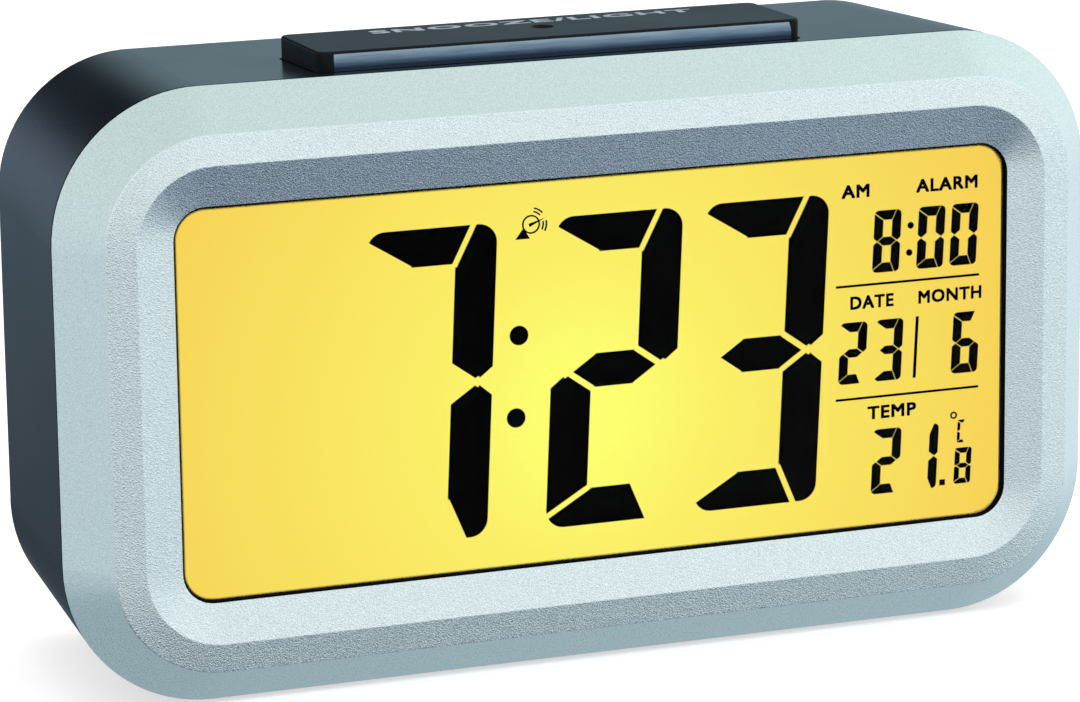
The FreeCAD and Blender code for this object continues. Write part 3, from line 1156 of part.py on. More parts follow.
# ---------------------------------------------------------------- radio antenna
def antenna():
    """Ferrite rod with its coil, carried in two ribs of the housing."""
    save("ferrite_rod", rod_x(-ROD_LENGTH / 2, ROD_LENGTH / 2, ROD_Y, ROD_Z, ROD_RADIUS))
    coil = rod_x(-COIL_LENGTH / 2, COIL_LENGTH / 2, ROD_Y, ROD_Z, ROD_RADIUS + COIL_THICKNESS)
    save("antenna_coil", coil.cut(rod_x(-COIL_LENGTH / 2, COIL_LENGTH / 2, ROD_Y, ROD_Z, ROD_RADIUS)))


# ---------------------------------------------------------------- screws and wires
def small_screws():
    """The short screws of the tray and the three boards."""
    length = SCREW_LENGTH
    screws = [screw_y(x, z, TRAY_REAR_Y, length, 1) for x, z in tray_screw_places()]
    screws += [screw_y(x, z, MAIN_BOARD_REAR_Y, length, 1) for x, z in main_board_places()]
    screws += [screw_y(x, z, KEY_BOARD_Y, length, -1) for x, z in key_board_places()]
    screws += [screw_up(x, y, SNOOZE_BOARD_Z - BOARD_THICKNESS, length) for x, y in snooze_board_places()]
    save("small_screws", screws)


def wire(points):
    """Round wire along straight runs joined by arcs that touch both runs."""
    places = [vec(*point) for point in points]
    edges = []
    start = places[0]
    for before, corner, after in zip(places, places[1:], places[2:]):
        arriving = (corner - before).normalize()
        leaving = (after - corner).normalize()
        reach = WIRE_BEND_SHARE * min((corner - before).Length, (after - corner).Length)
        turn = arriving.getAngle(leaving)
        radius = reach / math.tan(turn / 2)
        inward = (leaving - arriving).normalize()
        first = corner - arriving * reach
        last = corner + leaving * reach
        crown = corner + inward * (radius / math.cos(turn / 2) - radius)
        edges.append(Part.makeLine(start, first))
        edges.append(Part.Arc(first, crown, last).toShape())
        start = last
    edges.append(Part.makeLine(start, places[-1]))
    along = places[1] - places[0]
    section = Part.Wire(Part.makeCircle(WIRE_RADIUS, places[0], along))
    return Part.Wire(edges).makePipeShell([section], True, False)


def wire_across(x, y, z, rise):
    """Wire from the main board to a face at y, which it meets higher up by the rise."""
    board = MAIN_BOARD_REAR_Y
    third = (y - board) / 3
    return wire([(x, board, z), (x, board + third, z), (x, y - third, z + rise), (x, y, z + rise)])


def wires():
    """Leads of the battery box and the speaker, and the cables of the small boards."""
    box = BOX_FLOOR_Y - BOX_WALL
    z = DOOR_CENTRE_Z - BOX_INNER_HEIGHT / 2 + BOX_WALL
    x = BOX_INNER_LENGTH / 2 - 2 * BOX_WALL
    save("battery_leads", [wire_across(side * x, box, z + WIRE_RISE, -WIRE_RISE) for side in (-1, 1)])
    front = REAR_INNER_Y - SPEAKER_HEIGHT
    z = SPEAKER_Z + SPEAKER_MAGNET_RADIUS + 2 * WIRE_RADIUS
    leads = []
    for side in (-1, 1):
        leads.append(wire_across(SPEAKER_X + side * WIRE_PITCH, front, z - WIRE_RISE, WIRE_RISE))
    save("speaker_leads", leads)
    cables = []
    z = KEY_ROW_Z - KEY_BOARD_HEIGHT / 2 + 2 * WIRE_RADIUS
    for index in range(CABLE_CORES):
        x = KEY_ROW_X + (index - (CABLE_CORES - 1) / 2) * WIRE_PITCH
        cables.append(wire_across(x, KEY_BOARD_Y, z - WIRE_RISE, WIRE_RISE))
        x = BAR_CENTRE_X + SNOOZE_SWITCH_X + SWITCH_SIZE + index * WIRE_PITCH
        y = BAR_FRONT_Y + SNOOZE_BOARD_SETBACK + SNOOZE_BOARD_DEPTH - 2 * WIRE_RADIUS
        low = MAIN_BOARD_TOP - BOARD_HOLE_INSET
        under = SNOOZE_BOARD_Z - BOARD_THICKNESS
        cables.append(wire([(x, y, under), (x, y, low), (x, MAIN_BOARD_REAR_Y, low)]))
    save("board_cables", cables)


# ---------------------------------------------------------------- rear housing
def housing_outside():
    bevel = front_wire(CASE_WIDTH - 2 * JOINT_BEVEL, CASE_HEIGHT - 2 * JOINT_BEVEL,
                       CORNER_RADIUS - JOINT_BEVEL, 0.0)
    body = loft([bevel, housing_ring(JOINT_BEVEL, 0.0), housing_ring(CASE_DEPTH, 0.0)])
    return body.makeFillet(REAR_EDGE_RADIUS, edges_at(body, lambda edge: flat_at_y(edge, CASE_DEPTH)))


def rear_housing():
    """Dark tub with the battery box, bosses, ribs, slots and openings."""
    outside = housing_outside()
    inside = loft([housing_ring(0.0, CASE_WALL), housing_ring(REAR_INNER_Y, CASE_WALL)])
    body = outside.cut(inside)
    added = []
    half_l = BOX_INNER_LENGTH / 2
    half_h = BOX_INNER_HEIGHT / 2
    zc = DOOR_CENTRE_Z
    added.append(block(-half_l - BOX_WALL, half_l + BOX_WALL, BOX_FLOOR_Y - BOX_WALL, REAR_INNER_Y,
                       zc - half_h - BOX_WALL, zc + half_h + BOX_WALL))
    for x, z in case_screw_places():
        added.append(rod_y(x, BOSS_JOINT_Y + BOSS_JOINT_GAP, REAR_INNER_Y, z, REAR_BOSS_RADIUS))
    for x, z in key_board_places():
        added.append(rod_y(x, KEY_BOARD_Y + BOARD_THICKNESS, REAR_INNER_Y, z, POST_RADIUS))
    for x, y in snooze_board_places():
        added.append(rod_z(x, y, SNOOZE_BOARD_Z, TOP_Z, POST_RADIUS))
    for side in (-1, 1):
        left = side * ROD_RIB_X - ROD_RIB_THICKNESS / 2
        reach = ROD_RADIUS + ROD_RIB_WALL
        added.append(block(left, left + ROD_RIB_THICKNESS, ROD_Y - reach, ROD_Y + reach,
                           ROD_Z - reach, TOP_Z))
    fence = SPEAKER_RADIUS + SPEAKER_CLEARANCE
    ring = rod_y(SPEAKER_X, REAR_INNER_Y - SPEAKER_HEIGHT, REAR_INNER_Y, SPEAKER_Z, fence + SPEAKER_FENCE)
    added.append(ring.cut(rod_y(SPEAKER_X, REAR_INNER_Y - SPEAKER_HEIGHT, REAR_INNER_Y, SPEAKER_Z, fence)))
    for shape in added:
        body = body.fuse(shape.common(outside))
    tab_reach = BAR_TAB_WIDTH / 2 + BAR_CLEARANCE
    removed = [
        block(-half_l, half_l, BOX_FLOOR_Y, CASE_DEPTH, zc - half_h, zc + half_h),
        door_slab(DOOR_CLEARANCE, REAR_INNER_Y, CASE_DEPTH),
        top_slab(BAR_LENGTH + 2 * BAR_CLEARANCE, BAR_DEPTH + 2 * BAR_CLEARANCE, BAR_CORNER + BAR_CLEARANCE,
                 BAR_WELL_Z, TOP_Z, BAR_CENTRE_X, BAR_CENTRE_Y),
        block(bar_end(-1, BAR_TAB_LENGTH + BAR_CLEARANCE), bar_end(1, BAR_TAB_LENGTH + BAR_CLEARANCE),
              BAR_CENTRE_Y - tab_reach, BAR_CENTRE_Y + tab_reach, BAR_WELL_Z, TOP_WALL_Z),
    ]
    depth = DOOR_TAB_THICKNESS + 2 * DOOR_CLEARANCE + DOOR_TAB_DROP
    for side in (-1, 1):
        left = side * DOOR_TAB_X - DOOR_TAB_WIDTH / 2 - DOOR_CLEARANCE
        right = left + DOOR_TAB_WIDTH + 2 * DOOR_CLEARANCE
        removed.append(block(left, right, REAR_INNER_Y - depth, REAR_INNER_Y,
                             DOOR_BOTTOM_Z - DOOR_TAB_DROP - DOOR_CLEARANCE, zc))
    for x, z in case_screw_places():
        removed.append(rod_y(x, 0, CASE_DEPTH, z, SCREW_RADIUS + SCREW_PASS_SLACK))
        removed.append(rod_y(x, HEAD_SEAT_Y, CASE_DEPTH, z, SCREW_HEAD_RADIUS + COUNTERBORE_SLACK))
    for x, z in key_board_places():
        removed.append(rod_y(x, KEY_BOARD_Y, REAR_INNER_Y, z, SCREW_RADIUS + SCREW_HOLE_SLACK))
    for x, y in snooze_board_places():
        removed.append(rod_z(x, y, SNOOZE_BOARD_Z, TOP_WALL_Z, SCREW_RADIUS + SCREW_HOLE_SLACK))
    removed.append(rod_x(-ROD_LENGTH / 2, ROD_LENGTH / 2, ROD_Y, ROD_Z, ROD_RADIUS + ROD_CLEARANCE))
    for x, z in key_places():
        removed.append(front_slab(KEY_WIDTH + 2 * KEY_CLEARANCE, KEY_HEIGHT + 2 * KEY_CLEARANCE,
                                  KEY_CORNER + KEY_CLEARANCE, REAR_INNER_Y, CASE_DEPTH, x, z))
    reach = SLIDE_TRAVEL / 2 + SLIDE_KNOB_WIDTH / 2 + SLIDE_SLOT_CLEARANCE
    rise = SLIDE_KNOB_HEIGHT / 2 + SLIDE_SLOT_CLEARANCE
    removed.append(block(SLIDE_X - reach, SLIDE_X + reach, REAR_INNER_Y, CASE_DEPTH,
                         KEY_ROW_Z - rise, KEY_ROW_Z + rise))
    removed.append(front_slab(2 * (reach + SLIDE_RECESS_MARGIN), 2 * (rise + SLIDE_RECESS_MARGIN),
                              SLIDE_RECESS_MARGIN, CASE_DEPTH - SLIDE_RECESS_DEPTH, CASE_DEPTH,
                              SLIDE_X, KEY_ROW_Z))
    opening = rod_y(SPEAKER_X, REAR_INNER_Y, CASE_DEPTH, SPEAKER_Z, SPEAKER_RADIUS - SPEAKER_RIM)
    for index in range(SPEAKER_SLOT_COUNT):
        z = SPEAKER_Z + (index - (SPEAKER_SLOT_COUNT - 1) / 2) * SPEAKER_SLOT_PITCH
        slot = block(SPEAKER_X - SPEAKER_RADIUS, SPEAKER_X + SPEAKER_RADIUS, REAR_INNER_Y, CASE_DEPTH,
                     z - SPEAKER_SLOT_WIDTH / 2, z + SPEAKER_SLOT_WIDTH / 2)
        removed.append(slot.common(opening))
    for x, y in foot_places():
        removed.append(rod_z(x, y, FLOOR_Z, foot_seat(y), FOOT_RADIUS + FOOT_CLEARANCE))
    for shape in removed:
        body = body.cut(shape)
    save("rear_housing", body.removeSplitter())
    save("case_screws", [screw_y(x, z, HEAD_SEAT_Y, CASE_SCREW_LENGTH, 1) for x, z in case_screw_places()])


def foot_seat(y):
    """Height of the flat recess that a foot is glued into."""
    return -CASE_HEIGHT / 2 + TOP_DRAFT * y / CASE_DEPTH + FOOT_RECESS


def rubber_feet():
    feet = []
    for x, y in foot_places():
        foot = rod_z(x, y, FLOOR_Z, foot_seat(y), FOOT_RADIUS)
        rim = edges_at(foot, lambda edge: abs(edge.BoundBox.ZMax - FLOOR_Z) < TOUCH)
        feet.append(foot.makeFillet(SMALL_ROUND, rim))
    save("rubber_feet", feet)


def main():
    os.makedirs("parts", exist_ok=True)
    front_frame()
    display_lens()
    display_gasket()
    display_cell()
    colon_x = time_figures()
    side_figures()
    lines_and_sign(colon_x)
    backlight()
    display_tray()
    main_board()
    press_bar()
    snooze_board()
    rear_keys()
    slide_switch()
    speaker()
    batteries()
    battery_door()
    antenna()
    small_screws()
    wires()
    rear_housing()
    rubber_feet()


main()
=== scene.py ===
"""Finishes, printing and studio for a bedside alarm clock, laid out as an add-on."""
import math

import bmesh
import bpy
from bpy.props import FloatProperty, FloatVectorProperty, PointerProperty
from mathutils import Matrix, Vector


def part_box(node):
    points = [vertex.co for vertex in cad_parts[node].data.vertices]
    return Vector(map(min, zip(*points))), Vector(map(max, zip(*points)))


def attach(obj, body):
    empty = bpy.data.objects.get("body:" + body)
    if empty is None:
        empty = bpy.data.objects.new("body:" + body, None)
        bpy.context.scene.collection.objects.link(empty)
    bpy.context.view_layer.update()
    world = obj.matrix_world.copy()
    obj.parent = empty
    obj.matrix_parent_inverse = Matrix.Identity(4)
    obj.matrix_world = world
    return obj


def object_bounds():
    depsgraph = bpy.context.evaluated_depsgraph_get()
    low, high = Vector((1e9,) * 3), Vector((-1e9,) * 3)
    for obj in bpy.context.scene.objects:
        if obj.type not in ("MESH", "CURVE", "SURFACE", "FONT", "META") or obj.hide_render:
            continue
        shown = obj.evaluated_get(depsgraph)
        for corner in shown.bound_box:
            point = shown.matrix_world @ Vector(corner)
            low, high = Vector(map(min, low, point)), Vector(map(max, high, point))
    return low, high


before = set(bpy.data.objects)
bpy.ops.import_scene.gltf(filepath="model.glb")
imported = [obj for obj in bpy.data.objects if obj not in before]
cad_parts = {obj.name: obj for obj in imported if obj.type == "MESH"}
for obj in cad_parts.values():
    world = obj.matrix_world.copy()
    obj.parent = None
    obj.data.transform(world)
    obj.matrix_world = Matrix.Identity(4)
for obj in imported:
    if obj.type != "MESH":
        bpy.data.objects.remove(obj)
cad_low, cad_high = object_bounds()

bl_info = {
    "name": "Bedside Alarm Clock",
    "version": (1, 0, 0),
    "blender": (4, 5, 0),
    "location": "3D View > Sidebar > Clock",
    "description": "Paint, plastics, lit display, printing and studio for a packed alarm clock",
    "category": "Object",
}

MM = 0.001
CORNER_STEPS = 12           # faces in each rounded corner of the printed border
WELD = 1e-5                 # letters' points nearer than this, in the font's units, are one
SPREAD = 4.0                # how much thicker letters move apart, in times their thickening
WAVE_TURN = 20.0            # radians that Blender's wave texture runs through in one unit
NOISE_LOW, NOISE_HIGH = 0.3, 0.7        # a noise texture mostly keeps between these
CLOUD_WIDTH = 18.0          # of the slow clouds in tone and gloss, in millimetres
CLOUD_GLOSS = 0.08          # how much a cloud changes the roughness, as a share of it
LAYER_SHARE = 0.6           # thickness of the display's driven layer, over the room for it
INK_SUNK = 2.0              # thickness of printed letters over the ink's: half is sunk in

# Which way printing faces: forward to the reader, up from the bar, or back from the rear.
FACING_FRONT = Matrix.Rotation(math.radians(90), 4, "X")
FACING_UP = Matrix.Identity(4)
FACING_REAR = Matrix.Rotation(math.radians(180), 4, "Z") @ FACING_FRONT


# ------------------------------------------------------------------ small tools
def linear(code):
    """Linear red, green, blue and alpha of an sRGB hex value."""
    parts = [int(code[i:i + 2], 16) / 255 for i in (0, 2, 4)]
    return [p / 12.92 if p <= 0.04045 else ((p + 0.055) / 1.055) ** 2.4 for p in parts] + [1.0]


def shaded(colour, share):
    """The colour made darker or lighter by a share of itself."""
    return [min(1.0, part * (1 + share)) for part in colour[:3]] + [1.0]


def flecked(colour, share):
    """Ramp stops that make the colour darker and lighter by a share, for a noise texture."""
    return (NOISE_LOW, shaded(colour, -share)), (NOISE_HIGH, shaded(colour, share))


def per_metre(size_mm):
    """Texture scale that makes one grain or ripple this many millimetres wide."""
    return 1 / (size_mm * MM)


def add(tree, kind, settings=None, inputs=None, stops=None):
    """Adds a node with its settings, its inputs (values, or outputs to link) and ramp stops."""
    made = tree.nodes.new(kind)
    for name, value in (settings or {}).items():
        setattr(made, name, value)
    for name, value in (inputs or {}).items():
        if isinstance(value, bpy.types.NodeSocket):
            tree.links.new(value, made.inputs[name])
        else:
            made.inputs[name].default_value = value
    if stops:
        ramp = made.color_ramp
        while len(ramp.elements) < len(stops):
            ramp.elements.new(1.0)
        for element, (position, colour) in zip(ramp.elements, stops):
            element.position = position
            element.color = colour
    return made


def begin(name, **uniform):
    """A new material: its tree, its shader with the uniform values set, and a point's place."""
    material = bpy.data.materials.new(name)
    material.use_nodes = True
    tree = material.node_tree
    shader = tree.nodes["Principled BSDF"]
    for key, value in uniform.items():
        shader.inputs[key.replace("_", " ").title().replace("Ior", "IOR")].default_value = value
    place = add(tree, "ShaderNodeTexCoord").outputs["Object"]
    return material, tree, shader, place


def grained(name, colour, roughness, grain, relief, shade=0.08, cloud=0.05, **uniform):
    """A solid finish: fine grain in its surface and tone, and slow clouds in tone and gloss.

    grain and relief are the grain's width and depth in millimetres; shade and cloud are how
    much the colour changes with the grain, and over a few centimetres.
    """
    material, tree, shader, place = begin(name, **uniform)
    fine = add(tree, "ShaderNodeTexNoise", None,
               {"Vector": place, "Scale": per_metre(grain), "Detail": 3.0}).outputs["Fac"]
    slow = add(tree, "ShaderNodeTexNoise", None,
               {"Vector": place, "Scale": per_metre(CLOUD_WIDTH), "Detail": 2.0}).outputs["Fac"]
    tone = add(tree, "ShaderNodeValToRGB", None, {"Fac": fine}, flecked(colour, shade))
    wide = add(tree, "ShaderNodeMapRange", None,
               {"Value": slow, "From Min": NOISE_LOW, "From Max": NOISE_HIGH,
                "To Min": 1 - cloud, "To Max": 1 + cloud})
    base = add(tree, "ShaderNodeVectorMath", {"operation": "SCALE"},
               {0: tone.outputs["Color"], "Scale": wide.outputs["Result"]})
    gloss = add(tree, "ShaderNodeMapRange", None,
                {"Value": slow, "From Min": NOISE_LOW, "From Max": NOISE_HIGH,
                 "To Min": roughness * (1 - CLOUD_GLOSS), "To Max": roughness * (1 + CLOUD_GLOSS)})
    bump = add(tree, "ShaderNodeBump", None,
               {"Height": fine, "Distance": relief * MM, "Strength": 1.0})
    tree.links.new(base.outputs["Vector"], shader.inputs["Base Color"])
    tree.links.new(gloss.outputs["Result"], shader.inputs["Roughness"])
    tree.links.new(bump.outputs["Normal"], shader.inputs["Normal"])
    return material


def driven_crystal(name):
    """Twisted liquid crystal between crossed films: near black, with no shine of its own."""
    return grained(name, linear("020203"), 0.5,
                   grain=0.3, relief=0.001, shade=0.2, specular_ior_level=0.0)


def printed_ink(name, colour):
    """Pad-printed ink: flat pale grey, a little uneven where it thins."""
    return grained(name, colour, 0.55, grain=0.12, relief=0.002, shade=0.18, cloud=0.1)


def dress(material, *nodes):
    """Gives CAD nodes a finish in place of the plain one that they were packed with."""
    for name in nodes:
        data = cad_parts[name].data
        data.materials.clear()
        data.materials.append(material)


def placed(name, data):
    """A new object in the scene, at the frame's origin."""
    made = bpy.data.objects.new(name, data)
    bpy.context.scene.collection.objects.link(made)
    return made


def piece(name, mesh, material, body):
    """Adds a piece in the clock's frame, riding on a body."""
    made = placed(name, mesh)
    mesh.materials.clear()
    mesh.materials.append(material)
    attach(made, body)


def letters(words, bold):
    """Solid letters one unit deep, thickened by joining copies that are moved by bold.

    Widths and heights are in the font's own units.
    """
    curve = bpy.data.curves.new("letters", "FONT")
    curve.body = words
    curve.extrude = 0.5
    curve.resolution_u = 3
    curve.space_character = 1 + SPREAD * bold
    thin = settled(placed("letters", curve))
    build = bmesh.new()
    build.from_mesh(thin)
    bmesh.ops.remove_doubles(build, verts=build.verts, dist=WELD)
    build.to_mesh(thin)
    build.free()
    copies = []
    for across, up in ((bold, bold), (-bold, bold), (bold, -bold), (-bold, -bold)):
        moved = thin.copy()
        moved.transform(Matrix.Translation((across, up, 0.0)))
        copies.append(placed("letters", moved))
    for other in copies[1:]:
        union = copies[0].modifiers.new("union", "BOOLEAN")
        union.operation = "UNION"
        union.solver = "EXACT"
        union.object = other
    thick = settled(copies[0])
    for other in copies[1:]:
        bpy.data.objects.remove(other)
    return thick


def settled(source):
    """The mesh that an object comes to with its modifiers; the object goes away."""
    bpy.context.view_layer.update()
    done = source.evaluated_get(bpy.context.evaluated_depsgraph_get())
    mesh = bpy.data.meshes.new_from_object(done)
    bpy.data.objects.remove(source)
    return mesh


def lettering(name, words, facing, left, base, level, width, height, depth, bold,
              material, body):
    """Printed words of an exact width and cap height, as thin solid letters.

    left, base and level are where the first letter's foot lies: across, up the letters, and
    out along the way they face, to the middle of their depth, all in metres.
    """
    mesh = letters(words, bold)
    low = Vector([min(v.co[i] for v in mesh.vertices) for i in range(3)])
    high = Vector([max(v.co[i] for v in mesh.vertices) for i in range(3)])
    fit = Matrix.Diagonal((width / (high.x - low.x), height / (high.y - low.y), depth, 1.0))
    mesh.transform(Matrix.Translation((left, base, level)) @ fit
                   @ Matrix.Translation((-low.x, -low.y, 0.0)))
    mesh.transform(facing)
    mesh.name = name
    piece(name, mesh, material, body)


# ------------------------------------------------------------------ sizes and colours to change
class ClockColours(bpy.types.PropertyGroup):
    """Colours of the outside and of the lit display"""

    paint: FloatVectorProperty(
        name="Silver paint", description="Metallic paint of the front frame",
        subtype="COLOR", size=4, min=0.0, max=1.0, default=linear("E0EEEF"))
    case: FloatVectorProperty(
        name="Case", description="Dark plastic of the rear housing and battery door",
        subtype="COLOR", size=4, min=0.0, max=1.0, default=linear("12181D"))
    bar: FloatVectorProperty(
        name="Press bar", description="Satin plastic of the long bar on top",
        subtype="COLOR", size=4, min=0.0, max=1.0, default=linear("0A0E13"))
    glow_middle: FloatVectorProperty(
        name="Glow, middle", description="Brightest part of the lit display",
        subtype="COLOR", size=4, min=0.0, max=1.0, default=linear("FDFE70"))
    glow_edge: FloatVectorProperty(
        name="Glow, edge", description="Display light away from its middle",
        subtype="COLOR", size=4, min=0.0, max=1.0, default=linear("F5CF55"))
    ink: FloatVectorProperty(
        name="Printing", description="Pale ink of the words on the bar and the rear",
        subtype="COLOR", size=4, min=0.0, max=1.0, default=linear("AEB9C1"))


class ClockSizes(bpy.types.PropertyGroup):
    """Sizes of the printing, the paint's flakes and the lens's black border"""

    flake: FloatProperty(
        name="Paint flake", description="Width of one fleck in the silver paint",
        unit="LENGTH", default=0.16 * MM, min=0.05 * MM, max=1.0 * MM)
    word_height: FloatProperty(
        name="Display word height", description="Cap height of the small words in the display",
        unit="LENGTH", default=1.68 * MM, min=0.5 * MM, max=4.0 * MM)
    bar_word_height: FloatProperty(
        name="Bar word height", description="Depth of the letters printed on the press bar",
        unit="LENGTH", default=2.3 * MM, min=1.0 * MM, max=8.0 * MM)
    bar_word_width: FloatProperty(
        name="Bar word width", description="Length of the words printed on the press bar",
        unit="LENGTH", default=42.7 * MM, min=10.0 * MM, max=60.0 * MM)
    ink_depth: FloatProperty(
        name="Ink depth", description="How thick the printed ink lies",
        unit="LENGTH", default=0.01 * MM, min=0.001 * MM, max=0.1 * MM)
    lens_overlap: FloatProperty(
        name="Lens overlap", description="How far the lens reaches behind the frame, all round",
        unit="LENGTH", default=1.5 * MM, min=0.0, max=5.0 * MM)
    window_radius: FloatProperty(
        name="Window corner", description="Radius of the corners of the frame's window",
        unit="LENGTH", default=4.0 * MM, min=0.5 * MM, max=12.0 * MM)
    border_width: FloatProperty(
        name="Border width", description="Solid part of the black border printed on the lens",
        unit="LENGTH", default=0.2 * MM, min=0.05 * MM, max=2.0 * MM)
    # Painted shade: over this width the border's inner edge fades out, as the frame's soft shadow
    # on the display.
    border_fade: FloatProperty(
        name="Border fade", description="Width over which the border's inner edge fades out",
        unit="LENGTH", default=0.5 * MM, min=0.05 * MM, max=2.0 * MM)
    key_word_height: FloatProperty(
        name="Key word height", description="Cap height of the words beside the rear controls",
        unit="LENGTH", default=1.7 * MM, min=0.5 * MM, max=4.0 * MM)


class ClockStudio(bpy.types.PropertyGroup):
    """Camera, lamps and floor"""

    lens: FloatProperty(
        name="Focal length", description="Focal length of the camera, in millimetres",
        default=155.93, min=10.0, max=500.0)
    camera_place: FloatVectorProperty(
        name="Camera place", description="Where the camera stands",
        subtype="TRANSLATION", unit="LENGTH", size=3, default=(-0.205938, -0.536865, 0.165761))
    yaw: FloatProperty(
        name="Yaw", description="How far the camera turns to its right",
        subtype="ANGLE", default=0.3655)
    pitch: FloatProperty(
        name="Pitch", description="How far the camera tips up",
        subtype="ANGLE", default=-0.2221)
    roll: FloatProperty(
        name="Roll", description="How far the camera leans",
        subtype="ANGLE", default=-0.0120)
    room_light: FloatProperty(
        name="Room light", description="Level of the even light from all round",
        default=0.55, min=0.0, max=2.0)
    top_power: FloatProperty(
        name="Top lamp", description="Power of the large soft lamp above",
        subtype="POWER", default=4.0, min=0.0)
    side_power: FloatProperty(
        name="Side lamp", description="Power of the soft lamp to the right",
        subtype="POWER", default=1.6, min=0.0)
    floor_size: FloatProperty(
        name="Floor size", description="Side of the square floor",
        unit="LENGTH", default=8.0, min=1.0)


# ------------------------------------------------------------------ the pieces
class CLOCK_OT_front_frame(bpy.types.Operator):
    """Paints the front frame silver"""

    bl_idname = "clock.front_frame"
    bl_label = "Front frame"

    SPECKLE, THIN_SPECKLE = 0.13, 0.15      # how much flecks differ in tone, as a share
    FLAKE_TIP = 0.075               # depth of the relief that tipped flakes make, in millimetres
    DULL_FLAKE, BRIGHT_FLAKE = 0.29, 0.21   # their roughness
    THIN_COAT = linear("C8CDD8")    # painted shade: a darker, bluer tint for the slope over the window
    THIN_FROM, THIN_FULL = 9.0, 3.0         # where the painted shade starts and where it is full, in millimetres under the lens's top
    BARE_PLASTIC = linear("0C0D0F")
    # Parts of a surface's direction: -1 is straight to the reader along Y, straight down in Z.
    SPRAY_NONE, SPRAY_FULL = -0.1, -0.3
    BLAST_LEAST, BLAST_FULL = -0.75, -0.95
    DOWN_LITTLE, DOWN_MUCH = -0.05, -0.17
    UNBLASTED = 0.25                # relief left where the mould isn't blasted, as a share

    def execute(self, context):
        # Sprayed aluminium-flake lacquer on moulded ABS: a soft metal sheen. The mould is
        # blasted where it faces the reader, so there the flakes tip about and glint one by
        # one, drawn twice as coarse as they are so that they show. Spray misses what does
        # not face it: the window's wall and the back stay bare black plastic.
        paint = context.scene.clock_colours.paint
        fleck = context.scene.clock_sizes.flake / MM
        material, tree, shader, place = begin("Sprayed silver lacquer on ABS")
        flakes = add(tree, "ShaderNodeTexNoise", None,
                     {"Vector": place, "Scale": per_metre(fleck), "Detail": 1.0,
                      "Roughness": 0.6}).outputs["Fac"]
        facing = add(tree, "ShaderNodeSeparateXYZ", None,
                     {"Vector": add(tree, "ShaderNodeTexCoord").outputs["Normal"]}).outputs
        sprayed = add(tree, "ShaderNodeMapRange", None,
                      {"Value": facing["Y"], "From Min": self.SPRAY_NONE,
                       "From Max": self.SPRAY_FULL}).outputs["Result"]
        blasted = add(tree, "ShaderNodeMapRange", None,
                      {"Value": facing["Y"], "From Min": self.BLAST_LEAST,
                       "From Max": self.BLAST_FULL, "To Min": self.UNBLASTED}).outputs["Result"]
        tone = add(tree, "ShaderNodeValToRGB", None, {"Fac": flakes}, flecked(paint, self.SPECKLE))
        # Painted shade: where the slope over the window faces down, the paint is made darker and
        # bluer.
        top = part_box("display_lens")[1].z
        height = add(tree, "ShaderNodeSeparateXYZ", None, {"Vector": place}).outputs["Z"]
        above = add(tree, "ShaderNodeMapRange", None,
                    {"Value": height, "From Min": top - self.THIN_FROM * MM,
                     "From Max": top - self.THIN_FULL * MM})
        under = add(tree, "ShaderNodeMapRange", None,
                    {"Value": facing["Z"], "From Min": self.DOWN_LITTLE,
                     "From Max": self.DOWN_MUCH})
        # where the painted shade lies: high up, on faces that turn down over the window
        thin = add(tree, "ShaderNodeMath", {"operation": "MULTIPLY"},
                   {0: above.outputs["Result"], 1: under.outputs["Result"]})
        spotty = add(tree, "ShaderNodeValToRGB", None, {"Fac": flakes},
                     flecked(self.THIN_COAT, self.THIN_SPECKLE))
        coat = add(tree, "ShaderNodeMix", {"data_type": "RGBA", "blend_type": "MULTIPLY"},
                   {"Factor": thin.outputs["Value"], "A": tone.outputs["Color"],
                    "B": spotty.outputs["Color"]})
        base = add(tree, "ShaderNodeMix", {"data_type": "RGBA"},
                   {"Factor": sprayed, "A": self.BARE_PLASTIC, "B": coat.outputs[2]})
        gloss = add(tree, "ShaderNodeMapRange", None,
                    {"Value": flakes, "From Min": NOISE_LOW, "From Max": NOISE_HIGH,
                     "To Min": self.DULL_FLAKE, "To Max": self.BRIGHT_FLAKE})
        bump = add(tree, "ShaderNodeBump", None,
                   {"Height": flakes, "Distance": self.FLAKE_TIP * MM, "Strength": blasted})
        tree.links.new(base.outputs[2], shader.inputs["Base Color"])
        tree.links.new(sprayed, shader.inputs["Metallic"])
        tree.links.new(gloss.outputs["Result"], shader.inputs["Roughness"])
        tree.links.new(bump.outputs["Normal"], shader.inputs["Normal"])
        dress(material, "front_frame")
        return {"FINISHED"}


